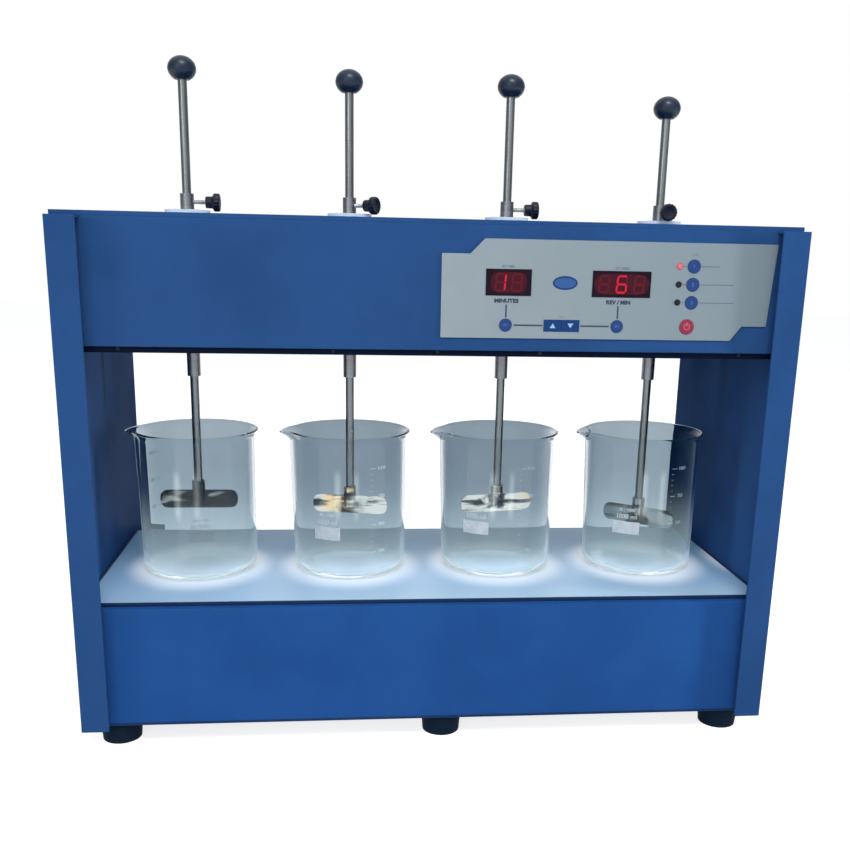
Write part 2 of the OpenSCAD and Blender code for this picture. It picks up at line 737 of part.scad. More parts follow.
module power_supply() {
    supply_x = inlet_x - inlet_w - supply_l;
    color([0.75, 0.77, 0.78]) difference() {
        block([supply_x, base_back_y - sheet_t - 12 - supply_w, case_z + sheet_t],
              [supply_x + supply_l, base_back_y - sheet_t - 12, case_z + sheet_t + supply_h]);
        for (i = [0:7])
            block([supply_x + 12 + i * 10, base_back_y - sheet_t - supply_w, case_z + sheet_t + supply_h - 1],
                  [supply_x + 16 + i * 10, base_back_y - sheet_t - 24, case_z + sheet_t + supply_h + 1]);
    }
}

// Recessed mains inlet with a flange outside the rear panel and three blades
module power_inlet() {
    socket_w = inlet_w - 4;
    socket_h = inlet_h - 4;
    mouth_y = base_back_y + inlet_flange_t;
    body_y = base_back_y - 20;
    color([0.08, 0.08, 0.09]) {
        difference() {
            union() {
                block([inlet_x - inlet_w / 2, body_y, inlet_z - inlet_h / 2],
                      [inlet_x + inlet_w / 2, base_back_y + eps, inlet_z + inlet_h / 2]);
                block([inlet_x - inlet_screws / 2 - 5, base_back_y, inlet_z - inlet_h / 2 - 2],
                      [inlet_x + inlet_screws / 2 + 5, mouth_y, inlet_z + inlet_h / 2 + 2]);
            }
            block([inlet_x - socket_w / 2, body_y + 4, inlet_z - socket_h / 2],
                  [inlet_x + socket_w / 2, mouth_y + 1, inlet_z + socket_h / 2]);
            for (s = [-1, 1])
                bar_y(inlet_x + s * inlet_screws / 2, inlet_z, base_back_y - 1, mouth_y + 1,
                      inlet_screw_d + 2 * screw_gap);
        }
        for (p = [[-7, -1], [0, 3], [7, -1]])
            block([inlet_x + p[0] - 1, body_y + 4 - eps, inlet_z + p[1] - 2],
                  [inlet_x + p[0] + 1, base_back_y - 4, inlet_z + p[1] + 2]);
    }
}

// --- Fasteners ---

module case_screws() {
    color([0.75, 0.77, 0.8]) {
        for (s = [-1, 1], y = lid_screws_y) translate([s * case_screw_x, y, lid_z])
            screw(screw_d, screw_head_d, screw_head_h, screw_l);
        for (s = [-1, 1], z = rear_screws_z) translate([s * case_screw_x, rear_cover_y, z])
            rotate([90, 0, 0]) screw(screw_d, screw_head_d, screw_head_h, sheet_t + side_t);
        for (s = [-1, 1], z = base_screws_z) translate([s * base_screw_x, base_back_y, z])
            rotate([-90, 0, 0]) screw(screw_d, screw_head_d, screw_head_h, screw_l);
        for (x = foot_x, y = foot_y) translate([x, y, foot_h - 6])
            rotate([180, 0, 0]) screw(screw_d, screw_head_d + 3, screw_head_h + 1, 6 + screw_l);
        for (sx = [-1, 1], sy = [-1, 1])
            translate([sx * motor_screw_place, spindle_y + sy * motor_screw_place, bearing_z])
            rotate([180, 0, 0]) screw(screw_d, screw_head_d, screw_head_h, screw_l);
        for (s = [-1, 1]) translate([inlet_x + s * inlet_screws / 2, base_back_y + inlet_flange_t, inlet_z])
            rotate([-90, 0, 0]) screw(inlet_screw_d, inlet_screw_d + 2.6, 1.6, screw_l);
        for (x = lip_screws_x) translate([x, fascia_back, lip_screw_z])
            rotate([90, 0, 0]) screw(lip_screw_d, lip_screw_head_d, 1, sheet_t + 3);
    }
}

// --- Gear train ---

// An idler with its shaft, from the floor's boss to the bearing plate
module idler(i, top) {
    color([0.9, 0.88, 0.8]) translate([idler_x[i], spindle_y, 0]) {
        gear_blank(0, idler_shaft_d + 8, floor_in + idler_boss_h + gear_low_gap, bearing_z - gear_low_gap);
        bar(0, 0, floor_z, top, idler_shaft_d);
    }
}

module drive_gear() { idler(1, motor_z + motor_shaft_l - run_gap); }
module idler_gear_1() { idler(0, motor_z); }
module idler_gear_2() { idler(2, motor_z); }

module spindle_gear(i) {
    color([0.9, 0.88, 0.8]) translate([stirrer_x[i], spindle_y, 0])
        gear_blank(spindle_d + 2 * fit_gap, spindle_d + 10, hub_low, bearing_z - 2);
}

// --- Stirrers ---

module spindle(i) {
    color([0.7, 0.72, 0.74]) translate([stirrer_x[i], spindle_y, 0]) difference() {
        bar(0, 0, spindle_low, collar_z, spindle_d);
        bar(0, 0, spindle_low - 1, collar_z + 1, 2 * bore_r);
        translate([0, 0, thumb_z]) rotate([0, 90, thumb_turn[i]])
            cylinder(d = thumb_stem_d + 2 * run_gap, h = spindle_d);
    }
}

module thumb_screw(i) {
    tip = bore_r + 0.1;
    neck = spindle_d / 2 + thumb_reach;
    head = neck + thumb_neck_l;
    translate([stirrer_x[i], spindle_y, thumb_z]) rotate([0, 90, thumb_turn[i]]) {
        color([0.7, 0.72, 0.74]) bar(0, 0, tip, neck + eps, thumb_stem_d);
        color([0.08, 0.09, 0.11]) {
            bar(0, 0, neck, head + eps, thumb_neck_d);
            bar(0, 0, head, head + thumb_head_l * 0.7, thumb_head_d);
            translate([0, 0, head + thumb_head_l * 0.7 - eps])
                cylinder(d1 = thumb_head_d, d2 = thumb_head_d - 5, h = thumb_head_l * 0.3 + eps);
        }
    }
}

module stirrer_rod(i) {
    color([0.72, 0.74, 0.76]) bar(stirrer_x[i], spindle_y, paddle_z(i) + hub_top - rod_in_hub,
        paddle_z(i) + rod_l, rod_d);
}

// A slightly flattened ball with a flat seat and a blind bore for the rod
module ball_knob(i) {
    steps = 12;
    seat = knob_h / 2 - 1.5;
    profile = [for (k = [0:2 * steps]) let (a = -90 + k * 90 / steps)
        [knob_d / 2 * cos(a), max(-seat, knob_h / 2 * sin(a))]];
    color([0.07, 0.09, 0.13]) translate([stirrer_x[i], spindle_y, paddle_z(i) + rod_l]) difference() {
        intersection() {
            rotate_extrude() polygon(profile);
            translate([0, 0, -seat]) cylinder(d = knob_d + 2, h = knob_h + 2);
        }
        translate([0, 0, -knob_h]) cylinder(d = rod_d + 2 * fit_gap, h = knob_h);
    }
}

// Bright plate with rounded corners, held by a hub that takes the rod's end
module paddle(i) {
    flat = paddle_w / 2 - paddle_corner;
    rise = paddle_h / 2 - paddle_corner;
    color([0.75, 0.77, 0.78]) translate([stirrer_x[i], spindle_y, paddle_z(i)])
        rotate([0, 0, paddle_turn[i]]) difference() {
            union() {
                translate([0, paddle_t / 2, 0]) rotate([90, 0, 0]) linear_extrude(paddle_t) {
                    square([paddle_w, 2 * rise], center = true);
                    square([2 * flat, paddle_h], center = true);
                    for (sx = [-1, 1], sy = [-1, 1]) translate([sx * flat, sy * rise]) circle(paddle_corner);
                }
                bar(0, 0, -paddle_h / 10, hub_top, hub_d);
            }
            bar(0, 0, hub_top - rod_in_hub, hub_top + 1, rod_d + 2 * fit_gap);
        }
}

// --- Jars ---

// Profile points of a jar's skin, r away from the wall's outer face
function arc(cx, cy, r, a0, a1, n) = [for (k = [0:n]) let (a = a0 + (a1 - a0) * k / n)
    [cx + r * cos(a), cy + r * sin(a)]];
function jar_skin(off, low) = let (
        wall_r = jar_d / 2 - off,
        corner = jar_corner - off)
    concat(
        [[0, low]],
        arc(wall_r - corner, low + corner, corner, -90, 0, 6),
        [for (k = [0:5]) let (t = k / 5)
            [wall_r + jar_flare * t * t, jar_h - jar_flare_h + jar_flare_h * t]]);

module jar_solid(off, low, top) {
    rotate_extrude() polygon(concat(jar_skin(off, low),
        [[jar_d / 2 - off + jar_flare, top], [0, top]]));
}

// The pouring lip's body from the rim out to its tip, drawn in by off on every side
module spout(off, top) {
    low = jar_h - spout_h + off;
    hull() {
        translate([-spout_reach + spout_tip_r, 0, low])
            cylinder(r = spout_tip_r - off, h = top - low, $fn = 32);
        translate([-jar_d / 2 + spout_root_in, 0, low + 1])
            cylinder(r = spout_side_r - off, h = top - low - 1, $fn = 32);
        translate([-jar_d / 2 + spout_root_in, 0, jar_h - spout_root + 1.5 * off])
            cylinder(r = spout_root_r - off, h = 1, $fn = 32);
    }
}

module glass_jar(i) {
    color([0.8, 0.9, 0.92, 0.4]) translate([stirrer_x[i], spindle_y, deck_z + jar_gap]) difference() {
        union() {
            jar_solid(0, 0, jar_h);
            spout(0, jar_h);
        }
        jar_solid(jar_wall, jar_base, jar_h + 1);
        spout(jar_wall, jar_h + 1);
    }
}

left_side_panel();
right_side_panel();
base_pan();
base_rear_panel();
light_plate();
jar_lamps();
rubber_feet();
housing_floor();
front_fascia();
rear_cover();
top_cover();
bearing_plate();
gear_motor();
spindle_bushes();
control_overlay();
display_windows();
indicator_lamps();
control_board();
power_supply();
power_inlet();
case_screws();
drive_gear();
idler_gear_1();
idler_gear_2();
spindle(0);  // spindle_1
spindle(1);  // spindle_2
spindle(2);  // spindle_3
spindle(3);  // spindle_4
spindle_gear(0);  // spindle_gear_1
spindle_gear(1);  // spindle_gear_2
spindle_gear(2);  // spindle_gear_3
spindle_gear(3);  // spindle_gear_4
thumb_screw(0);  // thumb_screw_1
thumb_screw(1);  // thumb_screw_2
thumb_screw(2);  // thumb_screw_3
thumb_screw(3);  // thumb_screw_4
stirrer_rod(0);  // stirrer_rod_1
stirrer_rod(1);  // stirrer_rod_2
stirrer_rod(2);  // stirrer_rod_3
stirrer_rod(3);  // stirrer_rod_4
ball_knob(0);  // ball_knob_1
ball_knob(1);  // ball_knob_2
ball_knob(2);  // ball_knob_3
ball_knob(3);  // ball_knob_4
paddle(0);  // paddle_1
paddle(1);  // paddle_2
paddle(2);  // paddle_3
paddle(3);  // paddle_4
glass_jar(0);  // glass_jar_1
glass_jar(1);  // glass_jar_2
glass_jar(2);  // glass_jar_3
glass_jar(3);  // glass_jar_4
time_key();
speed_key();
up_key();
down_key();
function_key(0);  // function_key_1
function_key(1);  // function_key_2
function_key(2);  // function_key_3
power_key();
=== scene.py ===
# %% [markdown]
# # A four-place jar tester
# A jar tester stirs four beakers of water side by side over a lit deck, so that the flakes
# in them can be compared. The cabinet is folded sheet steel under blue powder coat. Its
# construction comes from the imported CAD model, which is the fixed frame here. Blender adds
# what the eye looks for: glass with a printed scale, brushed steel, moulded knobs, the
# print on the control panel, and the glow of the deck.
#
# Everything is in metres, +Z is up and -Y is the front.

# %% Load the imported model
import json
import math

import bmesh
import bpy
import numpy as np
from mathutils import Matrix, Vector


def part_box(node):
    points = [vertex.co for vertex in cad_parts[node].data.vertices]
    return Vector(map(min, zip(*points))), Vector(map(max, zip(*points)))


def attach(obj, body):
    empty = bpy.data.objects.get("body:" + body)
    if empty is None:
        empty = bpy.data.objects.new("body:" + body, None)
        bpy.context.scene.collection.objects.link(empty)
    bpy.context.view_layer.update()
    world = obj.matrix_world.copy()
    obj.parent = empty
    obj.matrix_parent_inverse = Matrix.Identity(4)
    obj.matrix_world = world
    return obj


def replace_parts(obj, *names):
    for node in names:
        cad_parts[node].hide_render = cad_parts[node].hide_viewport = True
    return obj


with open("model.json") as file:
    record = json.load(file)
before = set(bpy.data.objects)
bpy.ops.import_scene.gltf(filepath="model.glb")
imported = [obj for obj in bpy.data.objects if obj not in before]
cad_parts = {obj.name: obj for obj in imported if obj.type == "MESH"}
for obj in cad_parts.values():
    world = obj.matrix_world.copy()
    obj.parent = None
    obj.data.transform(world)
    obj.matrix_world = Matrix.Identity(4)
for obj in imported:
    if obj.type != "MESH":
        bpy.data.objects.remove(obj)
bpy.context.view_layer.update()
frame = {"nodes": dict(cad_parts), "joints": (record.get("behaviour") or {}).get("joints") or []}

# %% [markdown]
# The camera comes first, because every later choice is judged through it. A photograph
# fixes the camera's place, its three turns and its focal length. Here they were solved by
# least squares from the cabinet's edges and the jars, so they are plain numbers. The optical
# axis was put off the middle, where the error was smallest among the places tried: that is
# the lens shift. A slightly squeezed picture would explain the photograph as well.

# %% Camera
IMAGE = 850  # pixels each way
SENSOR = 36.0  # millimetres
FOCAL_PIXELS = 963.26
AXIS_PIXEL = (435.0, 500.0)  # where the optical axis meets the picture
EYE = Vector((-0.08038, -0.95868, 0.43819))
YAW, PITCH, ROLL = 0.0975, 0.2448, 0.0202  # radians


def add_object(name, data):
    """A new object that holds the data, linked to the scene."""
    added = bpy.data.objects.new(name, data)
    bpy.context.scene.collection.objects.link(added)
    return added


def camera_turn(yaw, pitch, roll):
    """Columns are the camera's right, up and backward directions in the room."""
    ahead = Vector((math.sin(yaw) * math.cos(pitch), math.cos(yaw) * math.cos(pitch), -math.sin(pitch)))
    level = Vector((math.cos(yaw), -math.sin(yaw), 0))
    above = level.cross(ahead)
    right = math.cos(roll) * level + math.sin(roll) * above
    up = math.cos(roll) * above - math.sin(roll) * level
    return Matrix((right, up, -ahead)).transposed()


lens = bpy.data.cameras.new("camera")
lens.sensor_width = SENSOR
lens.lens = FOCAL_PIXELS / IMAGE * SENSOR
lens.shift_x = (IMAGE / 2 - AXIS_PIXEL[0]) / IMAGE
lens.shift_y = (AXIS_PIXEL[1] - IMAGE / 2) / IMAGE
lens.clip_start, lens.clip_end = 0.05, 50
camera = add_object("camera", lens)
camera.matrix_world = Matrix.Translation(EYE) @ camera_turn(YAW, PITCH, ROLL).to_4x4()
bpy.context.scene.camera = camera
bpy.context.scene.view_settings.view_transform = "Standard"
print("camera:", round(lens.lens, 2), "mm lens, shift", round(lens.shift_x, 4), round(lens.shift_y, 4))

# %% [markdown]
# ## Places
# The frame knows where every piece is, so sizes are read from it and not typed again.
# Each stirrer turns about one vertical axis, and its jar stands round the same axis.

# %% Places read from the frame
PLACES = (1, 2, 3, 4)


def box_of(node):
    """Lowest and highest corner of a CAD node as numpy arrays."""
    low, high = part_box(node)
    return np.array(low), np.array(high)


def middle(node):
    """Middle of a CAD node's box."""
    low, high = box_of(node)
    return (low + high) / 2


axis_x = [middle(f"spindle_{i}")[0] for i in PLACES]
axis_y = middle("spindle_1")[1]
deck_low, deck_high = box_of("light_plate")
deck_z = deck_high[2]
overlay_low, overlay_high = box_of("control_overlay")
joints = {joint["name"]: joint for joint in frame["joints"]}
print("stirrer axes at x", [round(float(x), 3) for x in axis_x], "y", round(float(axis_y), 3))

# %% [markdown]
# ## Surfaces from arrays
# Most new pieces are a surface P(u, v) worked out on a grid of numpy values and put into a
# mesh at once. A turned piece is a profile of radius and height, carried round an axis. The
# first and last points of a closed profile lie on the axis, so the ends close as well.

# %% Helpers that make meshes
MERGE = 1e-6  # metres


def link_mesh(name, points, faces, body, material, smooth=True, weld=True):
    """A mesh object riding on a body.

    weld joins points that fall together. smooth is for turned shapes, and also clears away
    edges and faces that have no size.
    """
    mesh = bpy.data.meshes.new(name)
    mesh.from_pydata(np.asarray(points, float).tolist(), [], list(faces))
    work = bmesh.new()
    work.from_mesh(mesh)
    if weld:
        bmesh.ops.remove_doubles(work, verts=work.verts, dist=MERGE)
    if smooth:
        bmesh.ops.dissolve_degenerate(work, edges=work.edges, dist=MERGE)
    bmesh.ops.recalc_face_normals(work, faces=work.faces)
    work.to_mesh(mesh)
    work.free()
    mesh.polygons.foreach_set("use_smooth", np.full(len(mesh.polygons), smooth))
    mesh.materials.append(material)
    piece = add_object(name, mesh)
    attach(piece, body)
    return piece


def grid_faces(rows, columns, wrap):
    """Quads between neighbours of a rows by columns grid; wrap joins the last column to the first."""
    last = columns if wrap else columns - 1
    row, column = np.meshgrid(np.arange(rows - 1), np.arange(last), indexing="ij")
    beside = (column + 1) % columns
    corners = [row * columns + column, row * columns + beside]
    corners += [(row + 1) * columns + beside, (row + 1) * columns + column]
    return np.stack(corners, axis=-1).reshape(-1, 4).tolist()


def turned(profile, segments, change=None):
    """P(u, v) = (r(u) cos v, r(u) sin v, z(u)), with (r, z) the profile's points.

    change(r, v, z), if given, returns a new (r, z) for the whole grid, such as for flutes.
    """
    angle = np.linspace(0, 2 * math.pi, segments, endpoint=False)
    radius, height = (np.repeat(profile[:, k : k + 1], segments, axis=1) for k in (0, 1))
    around = np.broadcast_to(angle, radius.shape)
    if change:
        radius, height = change(radius, around, height)
    points = np.stack([radius * np.cos(around), radius * np.sin(around), height], axis=-1)
    return points.reshape(-1, 3), grid_faces(len(profile), segments, True)


def arc(centre, radius, start, end, steps):
    """Points on a circle in the (r, z) plane, with angles in degrees."""
    angle = np.radians(np.linspace(start, end, steps))
    return np.stack([centre[0] + radius * np.cos(angle), centre[1] + radius * np.sin(angle)], axis=-1)


def path(*stretches):
    """One profile from stretches of points, each a point or an array of points."""
    return np.vstack([np.atleast_2d(np.array(stretch, float)) for stretch in stretches])


def ease(low, high, value):
    """0 below low, 1 above high, and a smooth S between them."""
    t = np.clip((value - low) / (high - low), 0, 1)
    return t * t * (3 - 2 * t)


print("mesh helpers ready")

# %% [markdown]
# ## Materials
# One small function places a node and joins its inputs. Effects that several finishes share
# are node groups, built once: a fine grain for paint and plastic, streaks for brushed
# steel, smudges from handling, and the soft edge that a folded or moulded piece has.

# %% Helpers that make materials


def feed(tree, socket, value):
    """Joins a socket to another socket, or gives it a value."""
    if isinstance(value, bpy.types.NodeSocket):
        tree.links.new(value, socket)
    else:
        socket.default_value = value


def put(tree, kind, inputs=None, **settings):
    """Adds a node. inputs maps a socket's name or number to a value or to another socket."""
    node = tree.nodes.new("ShaderNode" + kind)
    for name, value in settings.items():
        setattr(node, name, value)
    for name, value in (inputs or {}).items():
        feed(tree, node.inputs[name], value)
    return node


def start_group(name, inputs, outputs):
    """An empty shader group with float inputs {name: default} and outputs {name: socket kind}."""
    group = bpy.data.node_groups.new(name, "ShaderNodeTree")
    for socket, default in inputs.items():
        made = group.interface.new_socket(name=socket, in_out="INPUT", socket_type="NodeSocketFloat")
        made.default_value = default
    for socket, kind in outputs.items():
        group.interface.new_socket(name=socket, in_out="OUTPUT", socket_type="NodeSocket" + kind)
    entry, result = group.nodes.new("NodeGroupInput"), group.nodes.new("NodeGroupOutput")
    return group, entry.outputs, result


def use(tree, group, **inputs):
    """Places a group in a material and gives its outputs."""
    node = tree.nodes.new("ShaderNodeGroup")
    node.node_tree = group
    for name, value in inputs.items():
        node.inputs[name].default_value = value
    return node.outputs


def grey(level):
    """A grey as the four numbers that a colour socket holds."""
    return (level, level, level, 1.0)


def shaded(colour, share):
    """A colour with its red, green and blue times share."""
    return tuple(share * c for c in colour[:3]) + (1.0,)


def mixed(tree, factor, first, second):
    """The colour between first and second."""
    node = put(tree, "Mix", data_type="RGBA")
    colours = [socket for socket in node.inputs if socket.type == "RGBA"]
    for socket, value in ((node.inputs[0], factor), (colours[0], first), (colours[1], second)):
        feed(tree, socket, value)
    return [socket for socket in node.outputs if socket.type == "RGBA"][0]


def between(tree, value, low, high, to_low=0.0, to_high=1.0, smooth=True):
    """value moved from the range low..high to to_low..to_high, and held at the ends."""
    inputs = {"Value": value, 1: low, 2: high, 3: to_low, 4: to_high}
    node = put(tree, "MapRange", inputs, interpolation_type="SMOOTHSTEP" if smooth else "LINEAR")
    return node.outputs["Result"]


def sums(tree, operation, first, second=0.0, third=0.0):
    """One Math node."""
    return put(tree, "Math", {0: first, 1: second, 2: third}, operation=operation).outputs[0]


def product(tree, *values):
    """All the values multiplied."""
    total = values[0]
    for value in values[1:]:
        total = sums(tree, "MULTIPLY", total, value)
    return total


def object_xyz(tree):
    """The x, y and z of the point being shaded, in the object's own coordinates."""
    return put(tree, "SeparateXYZ", {0: put(tree, "TexCoord").outputs["Object"]}).outputs


def length(tree, x, y):
    """The length of a flat vector."""
    flat = put(tree, "CombineXYZ", {0: x, 1: y}).outputs[0]
    return put(tree, "VectorMath", {0: flat}, operation="LENGTH").outputs["Value"]


def empty_tree(holder):
    """The node tree of a material or a world, with nothing in it."""
    holder.use_nodes = True
    holder.node_tree.nodes.clear()
    return holder.node_tree


def shader_of(name, **values):
    """A new material with one Principled shader, whose sockets take the values given."""
    material = bpy.data.materials.new(name)
    tree = empty_tree(material)
    shader = put(tree, "BsdfPrincipled", {key.replace("_", " "): v for key, v in values.items()})
    put(tree, "OutputMaterial", {"Surface": shader.outputs[0]})
    return material, tree, shader.inputs


def bump(tree, height, strength, distance, normal=None):
    """A Bump node's normal from a height."""
    inputs = {"Height": height, "Strength": strength, "Distance": distance}
    if normal is not None:
        inputs["Normal"] = normal
    return put(tree, "Bump", inputs).outputs[0]


print("material helpers ready")

# %% [markdown]
# The four shared effects. The patterns read Object coordinates, and no object is scaled, so
# one metre of the pattern is one metre of the piece.

# %% Shared effects


def build_noise(name, size, output, detail, roughness, levels=None):
    """Noise of the given size in metres, as a height, or as a 0..1 mask between two levels."""
    group, given, result = start_group(name, {"Size": size}, {output: "Float"})
    place = put(group, "TexCoord").outputs["Object"]
    inputs = {"Vector": place, "Scale": sums(group, "DIVIDE", 1.0, given["Size"]),
              "Detail": detail, "Roughness": roughness}
    noise = put(group, "TexNoise", inputs).outputs[0]
    group.links.new(between(group, noise, *levels) if levels else noise, result.inputs[output])
    return group


def build_streaks():
    """Brushing: noise drawn out along one axis. Across sizes are in metres, for x, y and z."""
    sizes = {"Across x": 0.0006, "Across y": 0.0006, "Across z": 0.05}
    group, given, result = start_group("brush_streaks", sizes, {"Streak": "Float"})
    place = put(group, "TexCoord").outputs["Object"]
    scale = put(group, "CombineXYZ", {k: sums(group, "DIVIDE", 1.0, given[k]) for k in range(3)})
    drawn = put(group, "VectorMath", {0: place, 1: scale.outputs[0]}, operation="MULTIPLY")
    noise = put(group, "TexNoise", {"Vector": drawn.outputs[0], "Scale": 1.0, "Detail": 3.0})
    group.links.new(between(group, noise.outputs[0], 0.3, 0.7), result.inputs["Streak"])
    return group


def build_soft_edge():
    """Rounded edges: the Bevel node's normal, and a mask that is 1 where it leaves the face's own."""
    group, given, result = start_group("soft_edge", {"Radius": 0.001}, {"Normal": "Vector", "Edge": "Float"})
    round_normal = put(group, "Bevel", {"Radius": given["Radius"]}, samples=4).outputs[0]
    own = put(group, "NewGeometry").outputs["Normal"]
    dot = put(group, "VectorMath", {0: round_normal, 1: own}, operation="DOT_PRODUCT").outputs["Value"]
    group.links.new(round_normal, result.inputs["Normal"])
    group.links.new(between(group, dot, 0.99, 0.75), result.inputs["Edge"])
    return group


fine_grain = build_noise("fine_grain", 0.001, "Height", 2.0, 0.5)
smudges = build_noise("smudges", 0.08, "Mask", 5.0, 0.62, (0.38, 0.68))
brush_streaks, soft_edge = build_streaks(), build_soft_edge()
print("effects:", [group.name for group in bpy.data.node_groups])

# %% [markdown]
# **Powder coat** is baked plastic powder. Close up it has an orange-peel skin about a
# millimetre wide, and it turns a little paler where edges are rubbed. It is matt enough
# that its colour is nearly its written colour, so most of the work is in the roughness. The
# base looks a little stronger in the photograph, so it has a colour of its own.

# %% Painted sheet
FOLD = 0.0012  # radius that a folded edge shows


def powder_coat(name, colour, rubbed, roughness, specular):
    """Paint with orange peel, faint smudges and edges rubbed to a paler tone."""
    material, tree, shader = shader_of(name, Specular_IOR_Level=specular)
    edge = use(tree, soft_edge, Radius=FOLD)
    peel = use(tree, fine_grain, Size=0.0013)["Height"]
    marks = use(tree, smudges, Size=0.11)["Mask"]
    worn = sums(tree, "MULTIPLY", edge["Edge"], between(tree, peel, 0.42, 0.62))
    toned = mixed(tree, marks, colour, shaded(colour, 0.86))
    tree.links.new(mixed(tree, sums(tree, "MULTIPLY", worn, 0.55), toned, rubbed), shader["Base Color"])
    tree.links.new(between(tree, marks, 0, 1, roughness, roughness + 0.09), shader["Roughness"])
    tree.links.new(bump(tree, peel, 0.12, 0.0004, edge["Normal"]), shader["Normal"])
    return material


blue_paint = powder_coat("blue_powder_coat", (0.024, 0.080, 0.235, 1), (0.07, 0.17, 0.38, 1), 0.48, 0.006)
base_paint = powder_coat("base_powder_coat", (0.020, 0.091, 0.315, 1), (0.07, 0.18, 0.42, 1), 0.48, 0.006)
dark_paint = powder_coat("dark_powder_coat", (0.002, 0.006, 0.020, 1), (0.02, 0.03, 0.06, 1), 0.45, 0.04)
print("paints:", blue_paint.name, dark_paint.name)

# %% [markdown]
# ** Metals.** Brushed steel mirrors its room through thousands of fine scratches, so the
# streaks drive its roughness and a very small bump. Rods are brushed along their length,
# spindles are turned, and plated screws are hardly brushed at all. A paddle mirrors things
# that a plain studio doesn't have, so painted reflections, patches of tone in its own colour,
# stand in for them, tuned to the photograph: darker on the outer paddles, and with painted
# shade at each hub.

# %% Steels
STEP = float(axis_x[1] - axis_x[0])  # from one stirrer to the next
FIRST_X = float(axis_x[0])
INNER_EDGES = (0.9 * STEP, 1.1 * STEP)  # from the middle: inner jars end, outer jars begin
# painted shade darkens each paddle round its stirrer's axis
HUB_SHADE_RADIUS = 0.007  # round each stirrer's axis, where its paddle is darkest


def streaks(tree, sizes):
    """Brush streaks that are sizes wide along x, y and z."""
    across = {f"Across {axis}": size for axis, size in zip("xyz", sizes)}
    return use(tree, brush_streaks, **across)["Streak"]


def steel(name, colour, roughness, sizes, dark=0.7):
    """Metal with streaks that are sizes wide along x, y and z."""
    material, tree, shader = shader_of(name, Metallic=1.0)
    streak = streaks(tree, sizes)
    marks = use(tree, smudges, Size=0.03)["Mask"]
    tree.links.new(mixed(tree, streak, shaded(colour, dark), colour), shader["Base Color"])
    rough = sums(tree, "ADD", between(tree, streak, 0, 1, roughness, roughness * 1.5),
                 between(tree, marks, 0, 1, 0, 0.08))
    tree.links.new(rough, shader["Roughness"])
    tree.links.new(bump(tree, streak, 0.25, 0.0001), shader["Normal"])
    return material


rod_steel = steel("brushed_rod_steel", (0.235, 0.262, 0.270, 1), 0.26, (0.0012, 0.0012, 0.05), 0.85)
spindle_steel = steel("turned_spindle_steel", (0.31, 0.32, 0.345, 1), 0.3, (0.02, 0.02, 0.0005))
screw_steel = steel("plated_screw_steel", (0.5, 0.51, 0.53, 1), 0.3, (0.003, 0.003, 0.003))
black_steel = steel("blackened_steel", (0.03, 0.035, 0.05, 1), 0.4, (0.003, 0.003, 0.003))
zinc_plate = steel("zinc_sheet", (0.5, 0.53, 0.56, 1), 0.38, (0.02, 0.004, 0.004), 0.8)
motor_metal = steel("painted_motor_case", (0.1, 0.11, 0.12, 1), 0.45, (0.004, 0.004, 0.004))
supply_metal = steel("supply_case_sheet", (0.55, 0.57, 0.58, 1), 0.4, (0.004, 0.03, 0.004))


def polished_sheet(name):
    """Thin polished sheet with painted reflections in long soft patches, dark, bright and a little warm, and
    painted shade round each stirrer's axis.
    """
    material, tree, shader = shader_of(name, Metallic=1.0)
    place = put(tree, "TexCoord").outputs["Object"]
    drawn = put(tree, "VectorMath", {0: place, 1: (30.0, 30.0, 130.0)}, operation="MULTIPLY").outputs[0]
    # painted reflections: long soft patches of tone
    patches = put(tree, "TexNoise", {"Vector": drawn, "Scale": 1.0, "Detail": 4.0, "Distortion": 0.5})
    along = put(tree, "SeparateXYZ", {0: place}).outputs[0]
    lift = between(tree, along, FIRST_X + 0.03, FIRST_X + STEP - 0.03, -0.09, 0.07)
    warmth = put(tree, "TexNoise", {"Vector": place, "Scale": 24.0, "Detail": 1.0})
    inner = between(tree, sums(tree, "ABSOLUTE", along), *INNER_EDGES, 1.0, 0.0)
    warm = product(tree, between(tree, warmth.outputs[0], 0.46, 0.60), inner)
    # the dark, bright and warm tones of the painted reflections
    bright = mixed(tree, warm, mixed(tree, inner, (0.34, 0.37, 0.35, 1), (0.74, 0.74, 0.68, 1)),
                   (0.95, 0.70, 0.40, 1))
    # painted shade round each stirrer's axis
    from_hub = sums(tree, "PINGPONG", sums(tree, "SUBTRACT", along, FIRST_X), STEP / 2)
    hub = between(tree, from_hub, HUB_SHADE_RADIUS, 1.5 * HUB_SHADE_RADIUS, -0.09, 0.0)
    tone = between(tree, sums(tree, "ADD", sums(tree, "ADD", patches.outputs[0], lift), hub), 0.42, 0.60)
    tree.links.new(mixed(tree, tone, (0.028, 0.036, 0.042, 1), bright), shader["Base Color"])
    streak = streaks(tree, (0.012, 0.012, 0.0007))
    tree.links.new(between(tree, streak, 0, 1, 0.14, 0.24), shader["Roughness"])
    tree.links.new(bump(tree, streak, 0.2, 0.0001), shader["Normal"])
    return material


paddle_steel = polished_sheet("paddle_steel_painted_reflections")
print("steels ready")

# %% [markdown]
# **Mouldings.** The ball knobs are glossy phenolic, the thumb screws a duller black
# plastic, the bushes and gears nylon, the feet rubber. One function makes them, since they
# differ only in colour, gloss and the size of their grain.

# %% Plastics and rubber


